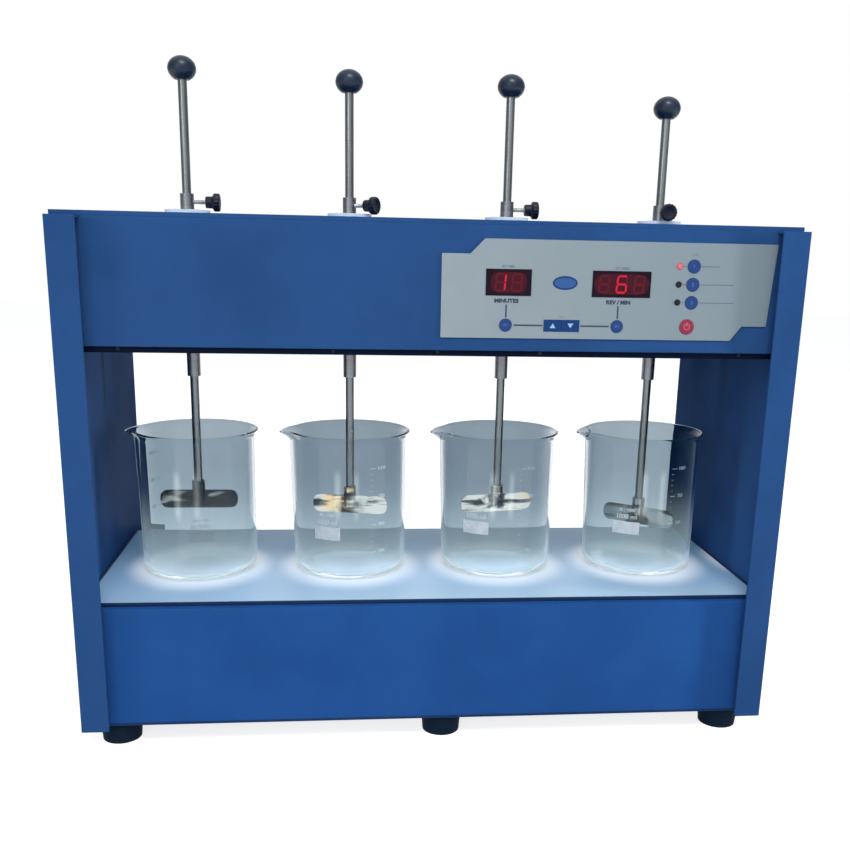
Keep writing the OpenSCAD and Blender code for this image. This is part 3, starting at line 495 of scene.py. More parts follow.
def moulding(name, colour, roughness, grain, depth, specular=0.2, edge_radius=0.0004):
    """Plastic or rubber with a grain of the given size and depth, and soft edges."""
    material, tree, shader = shader_of(name, Specular_IOR_Level=specular)
    edge = use(tree, soft_edge, Radius=edge_radius)
    pores = use(tree, fine_grain, Size=grain)["Height"]
    marks = use(tree, smudges, Size=0.02)["Mask"]
    pale = tuple(min(1.0, 1.25 * c + 0.004) for c in colour[:3]) + (1.0,)
    tone = mixed(tree, sums(tree, "MULTIPLY", edge["Edge"], 0.5), colour, pale)
    dusty = mixed(tree, sums(tree, "MULTIPLY", marks, 0.35), tone, pale)
    tree.links.new(dusty, shader["Base Color"])
    tree.links.new(between(tree, marks, 0, 1, roughness, roughness + 0.1), shader["Roughness"])
    tree.links.new(bump(tree, pores, 0.3, depth, edge["Normal"]), shader["Normal"])
    return material


knob_black = moulding("phenolic_black", (0.006, 0.016, 0.038, 1), 0.32, 0.004, 0.00005, specular=0.35)
thumb_black = moulding("thumb_screw_black", (0.008, 0.012, 0.024, 1), 0.38, 0.0008, 0.00006)
foot_rubber = moulding("foot_rubber", (0.006, 0.015, 0.032, 1), 0.62, 0.0009, 0.00015, specular=0.04)
inlet_black = moulding("inlet_black", (0.012, 0.012, 0.014, 1), 0.4, 0.0006, 0.00005)
bush_white = moulding("bush_white", (0.64, 0.75, 0.88, 1), 0.4, 0.002, 0.00005)
gear_nylon = moulding("gear_nylon", (0.75, 0.72, 0.62, 1), 0.42, 0.0015, 0.00006)
key_blue = moulding("key_blue", (0.022, 0.058, 0.200, 1), 0.45, 0.0006, 0.00004, specular=0.1)
arrow_blue = moulding("arrow_key_blue", (0.009, 0.045, 0.170, 1), 0.45, 0.0006, 0.00004, specular=0.1)
key_red = moulding("key_red", (0.26, 0.035, 0.075, 1), 0.45, 0.0006, 0.00004, specular=0.1)
board_green = moulding("board_green", (0.01, 0.12, 0.04, 1), 0.35, 0.0012, 0.00003)
print("mouldings ready")

# %% [markdown]
# ** The lit deck** is white acrylic with a ring of light under each jar. A real one scatters
# light inside the sheet, which is slow to render. Here the sheet glows by itself: dully
# under the middle of a jar, most strongly round its foot, and faintly between the jars. The
# distance to the nearest jar is a remainder of x, because the jars stand at equal steps. The
# halo reaches less far sideways, so x counts for more than y. In the photograph the sheet is
# brighter along the front, from the middle to the right, and darker in its rear corners, so
# its own colour carries that light and shade: painted light along the front and painted
# shade in the rear corners.

# %% Lit deck
CORE_FULL, CORE_END = 0.012, 0.030  # radii between which the dull middle brightens
LAMP_EDGE, JAR_FOOT = 0.036, 0.052  # radii between which it turns into the halo
HALO_FULL, HALO_END = 0.054, 0.088  # radii between which the halo fades
SIDEWAYS = 1.12  # how much more x counts than y in the halo
# painted shade in the rear corners and painted light along the front of the sheet
CORNER_SHADE_X, CORNER_SHADE_Y = (0.225, 0.290), (-0.11, -0.05)  # where the sheet darkens, outwards and backwards
FRONT_LIGHT_X, FRONT_LIGHT_Y = (-0.25, -0.05), (-0.125, -0.09)  # where it brightens, to the right and forwards


def lit_acrylic(name):
    """White sheet that glows round each jar's axis: a dull middle, a bright halo, then faintly, with painted
    light along its front and painted shade in its rear corners.
    """
    material, tree, shader = shader_of(name, Roughness=0.4, Specular_IOR_Level=0.25, Emission_Strength=1.0)
    place = object_xyz(tree)
    shifted = sums(tree, "ADD", place[0], 2 * STEP)
    along = sums(tree, "SUBTRACT", sums(tree, "MODULO", shifted, STEP), STEP / 2)
    across = sums(tree, "SUBTRACT", place[1], float(axis_y))
    near = length(tree, along, across)
    far = length(tree, product(tree, along, SIDEWAYS), across)
    marks = use(tree, smudges, Size=0.12)["Mask"]
    sheet = mixed(tree, marks, (0.395, 0.565, 0.78, 1), (0.365, 0.535, 0.75, 1))
    outwards = sums(tree, "ABSOLUTE", place[0])
    side = product(tree, between(tree, outwards, *CORNER_SHADE_X), between(tree, place[1], *CORNER_SHADE_Y))
    front = product(tree, between(tree, place[0], *FRONT_LIGHT_X), between(tree, place[1], *FRONT_LIGHT_Y, 1.0, 0.0))
    # painted shade: the sheet's colour is darker in its rear corners
    sheet = mixed(tree, side, sheet, (0.285, 0.435, 0.65, 1))
    # painted light: the sheet's colour is paler along the front
    tree.links.new(mixed(tree, front, sheet, (0.445, 0.61, 0.79, 1)), shader["Base Color"])
    halo = mixed(tree, between(tree, far, HALO_FULL, HALO_END),
                 (0.38, 0.36, 0.32, 1), (0.0, 0.026, 0.045, 1))
    centre = mixed(tree, between(tree, near, CORE_FULL, CORE_END),
                   (0.12, 0.13, 0.13, 1), (0.30, 0.30, 0.28, 1))
    glow = mixed(tree, between(tree, near, LAMP_EDGE, JAR_FOOT), centre, halo)
    tree.links.new(glow, shader["Emission Color"])
    return material


def lamp_face(name):
    """White board that shines."""
    material, tree, shader = shader_of(name, Roughness=0.5, Emission_Strength=0.7)
    grain = use(tree, fine_grain, Size=0.002)["Height"]
    tree.links.new(mixed(tree, grain, grey(0.75), grey(0.9)), shader["Base Color"])
    shader["Emission Color"].default_value = (0.9, 0.96, 1.0, 1)
    return material


deck_acrylic, lamp_white = lit_acrylic("lit_acrylic"), lamp_face("lamp_board_white")
print("deck glows round axes", round(STEP, 3), "m apart")

# %% [markdown]
# **The control panel** is a printed film with dark red windows. The film's base tone drifts
# a little from left to right. The windows are tinted acrylic, satin and nearly black, and
# the upper indicator is lit: its height alone tells it from the two dark ones.

# %% Panel film, windows and indicators


def panel_film(name):
    """Silver-grey film with a fine texture."""
    material, tree, shader = shader_of(name, Specular_IOR_Level=0.2)
    texture = use(tree, fine_grain, Size=0.0007)["Height"]
    marks = use(tree, smudges, Size=0.09)["Mask"]
    place = object_xyz(tree)
    across = between(tree, place[0], float(overlay_low[0]), float(overlay_high[0]), smooth=False)
    tone = mixed(tree, across, (0.295, 0.355, 0.390, 1), (0.200, 0.262, 0.308, 1))
    tree.links.new(mixed(tree, sums(tree, "MULTIPLY", marks, 0.3), tone, (0.22, 0.275, 0.305, 1)),
                   shader["Base Color"])
    tree.links.new(between(tree, marks, 0, 1, 0.42, 0.5), shader["Roughness"])
    tree.links.new(bump(tree, texture, 0.15, 0.0001), shader["Normal"])
    return material


def window_red(name):
    """Dark red acrylic with a satin face."""
    material, tree, shader = shader_of(name, Roughness=0.3, Specular_IOR_Level=0.06)
    marks = use(tree, smudges, Size=0.02)["Mask"]
    tree.links.new(mixed(tree, marks, (0.012, 0.006, 0.013, 1), (0.018, 0.008, 0.016, 1)),
                   shader["Base Color"])
    return material


def indicator(name, lit_above):
    """Red lens, shining above a height and dark below it."""
    material, tree, shader = shader_of(name, Roughness=0.3, Specular_IOR_Level=0.2, Emission_Strength=1.0)
    height = object_xyz(tree)[2]
    lit = between(tree, height, lit_above - 0.001, lit_above + 0.001)
    tree.links.new(mixed(tree, lit, (0.012, 0.016, 0.024, 1), (0.5, 0.12, 0.16, 1)), shader["Base Color"])
    tree.links.new(mixed(tree, lit, grey(0.0), (0.32, 0.03, 0.05, 1)), shader["Emission Color"])
    return material


overlay_film = panel_film("panel_film")
display_red = window_red("window_red")
indicator_red = indicator("indicator_red", float(box_of("function_key_1")[0][2]))
print("panel film, windows and indicators ready")

# %% [markdown]
# Every CAD node takes a finish except the four jars, which the glass beakers replace. The
# knobs, thumb screws and case screws are replaced further down as well.

# %% Dress the CAD nodes
FINISHES = {
    blue_paint: ["left_side_panel", "right_side_panel", "front_fascia", "rear_cover", "top_cover"],
    base_paint: ["base_pan", "base_rear_panel"],
    dark_paint: ["housing_floor"],
    deck_acrylic: ["light_plate"],
    lamp_white: ["jar_lamps"],
    foot_rubber: ["rubber_feet"],
    zinc_plate: ["bearing_plate"],
    motor_metal: ["gear_motor"],
    bush_white: ["spindle_bushes"],
    overlay_film: ["control_overlay"],
    display_red: ["display_windows"],
    indicator_red: ["indicator_lamps"],
    board_green: ["control_board"],
    supply_metal: ["power_supply"],
    inlet_black: ["power_inlet"],
    screw_steel: ["case_screws"],
    gear_nylon: ["drive_gear", "idler_gear_1", "idler_gear_2"] + [f"spindle_gear_{i}" for i in PLACES],
    spindle_steel: [f"spindle_{i}" for i in PLACES],
    thumb_black: [f"thumb_screw_{i}" for i in PLACES],
    rod_steel: [f"stirrer_rod_{i}" for i in PLACES],
    knob_black: [f"ball_knob_{i}" for i in PLACES],
    paddle_steel: [f"paddle_{i}" for i in PLACES],
    key_blue: ["time_key", "speed_key"] + [f"function_key_{i}" for i in (1, 2, 3)],
    arrow_blue: ["up_key", "down_key"],
    key_red: ["power_key"],
}
for finish, names in FINISHES.items():
    for name in names:
        node = frame["nodes"][name]
        for slot in node.material_slots:
            slot.material = finish
print("finished", sum(len(names) for names in FINISHES.values()), "CAD nodes")

# %% [markdown]
# ## Glass jars
# A lab beaker has an even wall, a thick base with a round turn, a flared rim with a bead,
# and a spout pulled out of the rim on one side. One closed profile gives both skins. The
# spout is a change to that surface: near one angle the rim moves outwards and droops, and
# the change fades away down the wall. A mesh of real thickness lets the glass shader bend
# light as the jar does. The lamp under each jar shines up into its wall, where fine marks
# catch the light: a painted glow that fades with height stands for that. The jars look evenly
# grey in the shade of the bay, even where the eye looks in over the rim, so the grey tint is
# painted shade, and the far half of the wall carries most of it. Two pale upright streaks on
# the front are painted reflections, standing in for soft reflections that the photograph
# shows there. They don't follow the eye.

# %% Glass
# the grey tints are painted shade, darkest on the far half of the wall
NEAR_TINT, FAR_SHADE_TINT = (0.78, 0.82, 0.855, 1), (0.209, 0.265, 0.314, 1)  # what one wall lets through
# painted shade on the far wall of the outer jars, lighter than on the inner ones
OUTER_SHADE_TINT = (0.278, 0.345, 0.394, 1)  # the far wall of the two outer jars, which look paler
TINT_TURN = 0.030  # how far in front of and behind the axis the tint changes
# painted glow at each jar's foot
PAINTED_GLOW_FOOT, PAINTED_GLOW_TOP = 0.004, 0.092  # heights above the deck between which the caught light fades
# painted reflections: two pale upright streaks on the near half
REFLECTION_FOOT, REFLECTION_TOP = (0.055, 0.070), (0.112, 0.098)  # heights where a pale streak begins and ends
PAINTED_REFLECTIONS = ((-0.0120, 0.0050, 0.55), (0.0055, 0.0045, 0.40))  # beside the axis, half width, strength


def clear_glass(name):
    """Glass with a grey tint of painted shade, faint marks, a painted glow at the foot, and pale streaks that
    are painted reflections.
    """
    material, tree, shader = shader_of(name, Roughness=0.0, IOR=1.2, Transmission_Weight=1.0,
                                       Emission_Strength=1.0)
    place = object_xyz(tree)
    # painted shade: the far half of the wall takes the darker tint
    back = between(tree, place[1], float(axis_y) - TINT_TURN, float(axis_y) + TINT_TURN)
    outer = between(tree, sums(tree, "ABSOLUTE", place[0]), *INNER_EDGES)
    tint = mixed(tree, back, NEAR_TINT, mixed(tree, outer, FAR_SHADE_TINT, OUTER_SHADE_TINT))
    marks = use(tree, smudges, Size=0.05)["Mask"]
    marked = put(tree, "VectorMath", {0: tint, 1: (0.95, 0.95, 0.95)}, operation="MULTIPLY").outputs[0]
    tree.links.new(mixed(tree, marks, tint, marked), shader["Base Color"])
    waves = use(tree, fine_grain, Size=0.030)["Height"]
    tree.links.new(bump(tree, waves, 0.05, 0.0004), shader["Normal"])
    height = sums(tree, "SUBTRACT", place[2], float(deck_z))
    # painted glow at the foot, fading with height
    glow = mixed(tree, between(tree, height, PAINTED_GLOW_FOOT, PAINTED_GLOW_TOP),
                 (0.072, 0.090, 0.094, 1), (0.0, 0.001, 0.002, 1))
    # painted reflections beside each axis
    beside = sums(tree, "WRAP", sums(tree, "SUBTRACT", place[0], FIRST_X), STEP / 2, -STEP / 2)
    pale = 0.0
    for at, half, strength in PAINTED_REFLECTIONS:
        away = sums(tree, "ABSOLUTE", sums(tree, "SUBTRACT", beside, at))
        pale = sums(tree, "ADD", pale, between(tree, away, 0.0, half, strength, 0.0))
    pale = product(tree, pale, sums(tree, "SUBTRACT", 1.0, back),
                   between(tree, height, *REFLECTION_FOOT), between(tree, height, *REFLECTION_TOP))
    tree.links.new(mixed(tree, pale, glow, (0.16, 0.18, 0.17, 1)), shader["Emission Color"])
    return material


jar_glass = clear_glass("beaker_glass")
print("glass:", jar_glass.name)

# %% Jar surfaces
jar_low, jar_high = box_of("glass_jar_1")
JAR_HEIGHT = float(jar_high[2] - jar_low[2])
JAR_RADIUS = 0.055
WALL, BASE = 0.0024, 0.0040
TURN = 0.010  # outer radius between base and wall
FLARE, FLARE_HEIGHT = 0.0039, 0.009
BEAD = 0.0013  # radius of the rim's round edge
PUNT = 0.0012  # how far the underside is domed
RIM_INSET = 0.0001  # how far the rim stays inside JAR_RADIUS + FLARE
SPOUT_REACH = 0.0690
SPOUT_ROOT = 0.020  # how far down the wall the spout starts
SPOUT_HALF = math.radians(25)
SPOUT_DROOP = 0.0022


def jar_profile():
    """Underside from the axis, outer wall, flared rim with its bead, inner wall, floor to the axis."""
    rim = JAR_RADIUS + FLARE - BEAD
    t = np.linspace(0, 1, 12)
    outer_flare = np.stack([JAR_RADIUS + (FLARE - RIM_INSET) * t**2.2,
                            JAR_HEIGHT - FLARE_HEIGHT + (FLARE_HEIGHT - BEAD) * t], axis=-1)
    inner_flare = outer_flare[::-1] - [WALL, 0]
    underside = np.linspace(0, JAR_RADIUS - TURN, 8)
    dome = np.stack([underside, PUNT * (1 - (underside / (JAR_RADIUS - TURN)) ** 2)], axis=-1)
    floor_turn = TURN - WALL
    return path(
        dome,
        arc((JAR_RADIUS - TURN, TURN), TURN, -90, 0, 10)[1:],
        outer_flare,
        arc((rim - RIM_INSET, JAR_HEIGHT - BEAD), BEAD, 20, 160, 8),
        inner_flare,
        arc((JAR_RADIUS - TURN, BASE + floor_turn), floor_turn, 0, -90, 8),
        np.stack([underside[::-1][1:], np.full(7, BASE)], axis=-1),
    )


def pull_spout(radius, angle, height):
    """Adds the spout: outwards and down near angle 180 degrees, fading to the root below the rim."""
    near = np.clip(1 - np.abs(angle - math.pi) / SPOUT_HALF, 0, 1)
    pinch = near**2 * (3 - 2 * near)
    up = ease(JAR_HEIGHT - SPOUT_ROOT, JAR_HEIGHT, height) ** 1.6
    skin = ease(JAR_RADIUS * 0.8, JAR_RADIUS * 0.94, radius)
    out = (SPOUT_REACH - JAR_RADIUS - FLARE) * pinch * up * skin
    return radius + out, height - SPOUT_DROOP * pinch**2 * up * skin


jar_points, jar_faces = turned(jar_profile(), 144, pull_spout)
jars = []
for i, x in zip(PLACES, axis_x):
    stand = np.array([x, axis_y, jar_low[2]])
    jar = link_mesh(f"beaker_{i}", jar_points + stand, jar_faces, f"jar_{i}", jar_glass)
    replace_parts(jar, f"glass_jar_{i}")
    jars.append(jar)
print("jars:", len(jars), "with", len(jars[0].data.polygons), "faces each")

# %% [markdown]
# ## Ball knobs
# A phenolic ball is turned or moulded, with a flat seat where the rod enters and a thin
# seam round its middle. It is a profile turned about the rod.

# %% Ball knobs
SEAM = 0.00012  # how far the seam stands out
SEAT_RIM = 0.0006  # width of the slope round the seat
KNOB_HEIGHT = 0.0215  # of the whole ball, from which the seat cuts a little


def knob_profile(width, height, seat):
    """A flattened circle r = w cos a, z = h sin a, with a raised seam at a = 0 and a flat seat."""
    a = np.radians(np.linspace(-90, 90, 61))
    ball = np.stack([width / 2 * np.cos(a), height / 2 * np.sin(a)], axis=-1)
    ball[:, 0] += SEAM * np.exp(-((a / 0.03) ** 2))
    above = ball[ball[:, 1] > seat]
    rim = above[0]
    ball[-1, 0] = above[-1, 0] = 0
    return path([0, seat], [rim[0] - SEAT_RIM, seat], [rim[0] - 0.0001, seat + 0.0001], above)


for i in PLACES:
    low, high = box_of(f"ball_knob_{i}")
    width = high[0] - low[0]
    centre_z = high[2] - KNOB_HEIGHT / 2
    points, faces = turned(knob_profile(width, KNOB_HEIGHT, low[2] - centre_z), 64)
    knob = link_mesh(f"phenolic_knob_{i}", points + [axis_x[i - 1], axis_y, centre_z], faces,
                     f"stirrer_{i}", knob_black)
    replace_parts(knob, f"ball_knob_{i}")
print("ball knobs:", round(float(width) * 1000, 1), "mm wide")

# %% [markdown]
# ## Thumb screws
# Each clamps a rod through its collar. The head is a black moulding with flutes for the
# fingers, on a steel stem with a real M4 thread. Both are turned surfaces. The flutes are a
# cosine of the angle, and the thread is the same wave wound along the stem, so that one
# turn climbs one pitch.

# %% Thumb screws
STEM_START, STEM_REACH = 0.0060, 0.0167  # from the rod's axis, along the screw
STEM_RADIUS, THREAD_PITCH, THREAD_DEPTH = 0.0019, 0.0007, 0.00022
NECK_RADIUS, NECK_LENGTH = 0.0052, 0.0070
HEAD_RADIUS, HEAD_LENGTH = 0.0080, 0.0060
FOOT_BEND, HOLLOW_BEND, UNDER_BEND, TOP_BEND = 0.0008, 0.0016, 0.0012, 0.0014
FLUTES, FLUTE_DEPTH = 16, 0.00045


def cut_thread(radius, angle, height):
    """Winds a wave of the thread's depth round the stem, leaving its two ends plain."""
    turns = height / THREAD_PITCH - angle / (2 * math.pi)
    inside = (radius > STEM_RADIUS * 0.9) & (height > STEM_START) & (height < STEM_REACH)
    return radius - THREAD_DEPTH * (0.5 + 0.5 * np.cos(2 * math.pi * turns)) * inside, height


def cut_flutes(radius, angle, height):
    """Scallops the head's rim, deepest at its widest point."""
    wide = ease(NECK_RADIUS + 0.0006, HEAD_RADIUS - 0.0002, radius)
    return radius - FLUTE_DEPTH * wide * (0.5 - 0.5 * np.cos(FLUTES * angle)), height


def stem_profile():
    """A plain bar, closed at both ends."""
    height = np.linspace(STEM_START, STEM_REACH + 0.002, 150)
    return path([0, height[0]], np.stack([np.full(150, STEM_RADIUS), height], axis=-1), [0, height[-1]])


def head_profile():
    """Neck with a rounded foot, a hollow up to the head, the rounded head, and a dimple in its top."""
    foot, neck_top = STEM_REACH, STEM_REACH + NECK_LENGTH
    top = neck_top + HEAD_LENGTH
    return path(
        [0, foot],
        arc((NECK_RADIUS - FOOT_BEND, foot + FOOT_BEND), FOOT_BEND, -90, 0, 5),
        [NECK_RADIUS + 0.0002, neck_top - HOLLOW_BEND],
        arc((NECK_RADIUS + 0.0002 + HOLLOW_BEND, neck_top - HOLLOW_BEND), HOLLOW_BEND, 180, 90, 6)[1:-1],
        arc((HEAD_RADIUS - UNDER_BEND, neck_top + UNDER_BEND), UNDER_BEND, -90, 0, 6),
        arc((HEAD_RADIUS - TOP_BEND, top - TOP_BEND), TOP_BEND, 0, 90, 7),
        [HEAD_RADIUS - 0.0032, top - 0.0002],
        [HEAD_RADIUS - 0.0040, top - 0.0007],
        [0, top - 0.0008],
    )


def point_along(points, joint):
    """Turns points drawn about +Z to the joint's axis, and moves them to its place."""
    turn = Vector((0, 0, 1)).rotation_difference(Vector(joint["axis"])).to_matrix()
    return points @ np.array(turn).T + np.array(joint["pos_m"])


head_points, head_faces = turned(head_profile(), 96, cut_flutes)
stem_points, stem_faces = turned(stem_profile(), 24, cut_thread)
for i in PLACES:
    joint = joints[f"thumb_screw_{i}_turn"]
    clamp = f"clamp_{i}"
    head = link_mesh(f"thumb_head_{i}", point_along(head_points, joint), head_faces, clamp, thumb_black)
    stem = link_mesh(f"thumb_stem_{i}", point_along(stem_points, joint), stem_faces, clamp, screw_steel)
    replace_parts(head, f"thumb_screw_{i}")
print("thumb screws with", FLUTES, "flutes")

# %% [markdown]
# ## Print on the control panel
# Screen print is a thin film of ink. Each line, word and digit is a flat piece that stands
# 0.06 mm out of the face that carries it and reaches as deep into it. A flat shape is drawn
# in the panel's own coordinates: u to the right and v up from the overlay's lower left
# corner, in metres.

# %% Inks and flat shapes
INK = 0.00006  # half the thickness of a printed piece
FACE_Y = float(overlay_low[1])
WINDOW_Y = float(box_of("display_windows")[0][1])


def ink(name, colour, roughness=0.5, glow=None, strength=0.0, cover=1.0):
    """A printed or lit film with a faint mottle. cover is how much of the ink is still there."""
    material, tree, shader = shader_of(name, Roughness=roughness, Specular_IOR_Level=0.15,
                                       Emission_Strength=strength)
    mottle = use(tree, fine_grain, Size=0.0015)["Height"]
    if cover < 1.0:
        worn = use(tree, smudges, Size=0.012)["Mask"]
        tree.links.new(between(tree, worn, 0, 1, cover, cover * 0.75), shader["Alpha"])
    tree.links.new(mixed(tree, mottle, shaded(colour, 0.8), colour), shader["Base Color"])
    if glow:
        tree.links.new(mixed(tree, mottle, shaded(glow, 0.8), glow), shader["Emission Color"])
    return material


dark_ink = ink("dark_ink", (0.035, 0.05, 0.10, 1))
line_ink = ink("line_ink", (0.05, 0.08, 0.13, 1))
grey_ink = ink("grey_ink", (0.15, 0.19, 0.24, 1))
blue_ink = ink("blue_ink", (0.012, 0.052, 0.20, 1))
badge_ink = ink("badge_ink", (0.042, 0.115, 0.31, 1))
white_ink = ink("white_ink", (0.42, 0.54, 0.76, 1))
key_ink = ink("key_ink", (0.14, 0.22, 0.46, 1))
rose_ink = ink("rose_ink", (0.60, 0.16, 0.22, 1))
lit_red = ink("lit_digit_red", (0.42, 0.012, 0.03, 1), 0.4, (0.50, 0.006, 0.02, 1), 0.55)
dim_red = ink("dim_digit_red", (0.10, 0.006, 0.016, 1), 0.4, (0.05, 0.002, 0.008, 1), 0.4)
field_red = ink("display_field_red", (0.040, 0.004, 0.012, 1), 0.4, (0.05, 0.001, 0.006, 1), 0.25)


def raised(outlines, y, thickness=INK):
    """Flat outlines [(u, v), ...] on the panel at depth y, each as a closed plate of that thickness."""
    points, faces = [], []
    origin = np.array([overlay_low[0], 0, overlay_low[2]])
    for outline in outlines:
        flat = np.array(outline, float)
        count, first = len(flat), len(points)
        for depth in (y - thickness, y + thickness):
            points += [[u + origin[0], depth, v + origin[2]] for u, v in flat]
        front = list(range(first, first + count))
        back = [k + count for k in reversed(front)]
        sides = [[first + k, first + k + count, first + (k + 1) % count + count, first + (k + 1) % count]
                 for k in range(count)]
        faces += [front, back, *sides]
    return points, faces


def plate_piece(name, outlines, y, body, material):
    """A printed piece from flat outlines."""
    points, faces = raised(outlines, y)
    link_mesh(name, points, faces, body, material, smooth=False, weld=False)


def bar(u0, v0, u1, v1):
    """A rectangle between two corners."""
    return [(u0, v0), (u1, v0), (u1, v1), (u0, v1)]


def oval(u, v, width, height, steps=48, power=1.0):
    """(u + (w / 2) sign(cos a) |cos a|^power, v + (h / 2) sin a): power below 1 squares the ends."""
    angle = np.linspace(0, 2 * math.pi, steps, endpoint=False)
    return np.stack([u + width / 2 * np.sign(np.cos(angle)) * np.abs(np.cos(angle)) ** power,
                     v + height / 2 * np.sin(angle)], axis=-1).tolist()


def panel_uv(node):
    """Middle of a node's front, in panel coordinates."""
    place = middle(node)
    return float(place[0] - overlay_low[0]), float(place[2] - overlay_low[2])


print("inks ready")

# %% [markdown]
# Lines tie each display to its setting key and to the arrow keys, and thinner ones lead from
# the function keys to their labels. The badge between the displays is a bare oval.

# %% Lines and badge
LINE, LEAD = 0.0014, 0.0009  # widths
KEY_GAP = 0.0012  # between a line and an arrow key beside it or a setting key under it
RING_GAP = 0.0018  # between a line and a setting key beside it
time_uv, speed_uv = panel_uv("time_key"), panel_uv("speed_key")
up_uv, down_uv = panel_uv("up_key"), panel_uv("down_key")
function_uv = [panel_uv(f"function_key_{i}") for i in (1, 2, 3)]
power_uv = panel_uv("power_key")
LABEL_V = 0.0312  # middle of the labels under the displays
LEAD_ENDS = (0.2395, 0.2535, 0.2545)  # u where the leads on their right end
LEAD_START = 0.2078  # u where the leads on the keys' left begin
LEAD_GAP = 0.0066  # how far a lead stays from its key's middle
BADGE_UV = (0.1055, 0.0468)
arrow_left = float(box_of("up_key")[0][0] - overlay_low[0])
arrow_right = float(box_of("down_key")[1][0] - overlay_low[0])
set_radius = float(box_of("time_key")[1][0] - box_of("time_key")[0][0]) / 2
row_v = time_uv[1]
lines = [bar(u - LINE / 2, row_v + set_radius + KEY_GAP, u + LINE / 2, LABEL_V - 0.0030)
         for u in (time_uv[0], speed_uv[0])]
lines += [bar(left, row_v - LINE / 2, right, row_v + LINE / 2) for left, right in (
    (time_uv[0] + set_radius + RING_GAP, arrow_left - KEY_GAP),
    (arrow_right + KEY_GAP, speed_uv[0] - set_radius - RING_GAP))]
plate_piece("panel_lines", lines, FACE_Y, "cabinet", line_ink)
leads = [bar(u + LEAD_GAP, v - LEAD / 2, end, v + LEAD / 2) for (u, v), end in zip(function_uv, LEAD_ENDS)]
leads += [bar(LEAD_START, v - LEAD / 2, u - LEAD_GAP, v + LEAD / 2) for u, v in function_uv]
plate_piece("panel_leads", leads, FACE_Y, "cabinet", grey_ink)
plate_piece("panel_badge", [oval(*BADGE_UV, 0.0216, 0.0116)], FACE_Y, "cabinet", blue_ink)
plate_piece("panel_badge_face", [oval(*BADGE_UV, 0.0186, 0.0086)], FACE_Y - INK, "cabinet", badge_ink)
print("lines:", len(lines) + len(leads))

# %% [markdown]
# Words and numbers come from Blender's own font. A text object is turned into a mesh first,
# and its points are then laid on the panel or wrapped round a jar, all in one numpy step.
# The photograph's own lettering can't be read, so the words are plain ones that such a
# panel could carry.

# %% Lettering


def letters(text, height, bold=0.0):
    """Points (x, y, z) and faces of a line of text, middle at the origin, with z as its thickness.

    bold moves each outline outwards by that many metres, on every side of a stroke.
    """
    curve = bpy.data.curves.new("letters", "FONT")
    curve.body = text
    curve.size = height / 0.72  # the font's capitals are 0.72 of its size
    curve.align_x, curve.align_y = "CENTER", "CENTER"
    curve.extrude = INK
    curve.offset = bold
    curve.resolution_u = 3
    holder = add_object("letters", curve)
    bpy.context.view_layer.update()
    mesh = bpy.data.meshes.new_from_object(holder.evaluated_get(bpy.context.evaluated_depsgraph_get()))
    points = np.zeros(len(mesh.vertices) * 3)
    mesh.vertices.foreach_get("co", points)
    faces = [list(polygon.vertices) for polygon in mesh.polygons]
    bpy.data.objects.remove(holder)
    bpy.data.curves.remove(curve)
    bpy.data.meshes.remove(mesh)
    return points.reshape(-1, 3), faces


def join_shapes(shapes):
    """One list of points and faces from several."""
    points, faces, first = [], [], 0
    for some_points, some_faces in shapes:
        points.append(np.asarray(some_points, float))
        faces += [[first + k for k in face] for face in some_faces]
        first += len(some_points)
    return np.vstack(points), faces


def shape_piece(name, shapes, body, material):
    """A flat-shaded piece from several shapes."""
    link_mesh(name, *join_shapes(shapes), body, material, smooth=False)


def word(text, u, v, height, y=FACE_Y, stretch=1.0, bold=0.0):
    """A word on the panel with its middle at (u, v), stretched along u."""
    points, faces = letters(text, height, bold)
    x = points[:, 0] * stretch + u + overlay_low[0]
    return np.stack([x, y - points[:, 2], points[:, 1] + v + overlay_low[2]], axis=-1), faces


display_low, display_high = box_of("display_windows")
TITLE_V = float(display_high[2] - overlay_low[2]) + 0.0024
TIME_U, SPEED_U = 0.057, 0.1545  # middles of the two displays
BOLD = 0.00008
titles = [word("SET TIME", TIME_U - 0.001, TITLE_V, 0.0019, stretch=1.05, bold=BOLD),
          word("SET SPEED", SPEED_U, TITLE_V, 0.0019, stretch=1.05, bold=BOLD)]
shape_piece("panel_titles", titles, "cabinet", grey_ink)
hints = [word("ADJUST", (up_uv[0] + down_uv[0]) / 2, row_v + 0.0074, 0.0013),
         word("MODE", function_uv[0][0], function_uv[0][1] + 0.0096, 0.0015)]
shape_piece("panel_hints", hints, "cabinet", grey_ink)
labels = [word("MINUTES", time_uv[0], LABEL_V, 0.0032, stretch=1.15, bold=3 * BOLD),
          word("REV / MIN", speed_uv[0], LABEL_V, 0.0032, stretch=1.10, bold=3 * BOLD)]
shape_piece("panel_labels", labels, "cabinet", dark_ink)
print("words on the panel:", len(titles) + len(hints) + len(labels))

# %% [markdown]
# ## Digits
# A seven-segment digit is seven bars with pointed ends. All seven are there behind the red
# window, and those that aren't lit still show as a dull red. The digits lean slightly.

# %% Seven-segment digits
DIGIT_W, DIGIT_H, SEGMENT = 0.0080, 0.0136, 0.0017
SLANT = 0.08  # u gained per metre of height
SEGMENTS = {"a": (0, 2, 1, 2), "b": (1, 1, 1, 2), "c": (1, 0, 1, 1), "d": (0, 0, 1, 0),
            "e": (0, 0, 0, 1), "f": (0, 1, 0, 2), "g": (0, 1, 1, 1)}
LIT = {"1": "bc", "6": "acdefg", " ": ""}


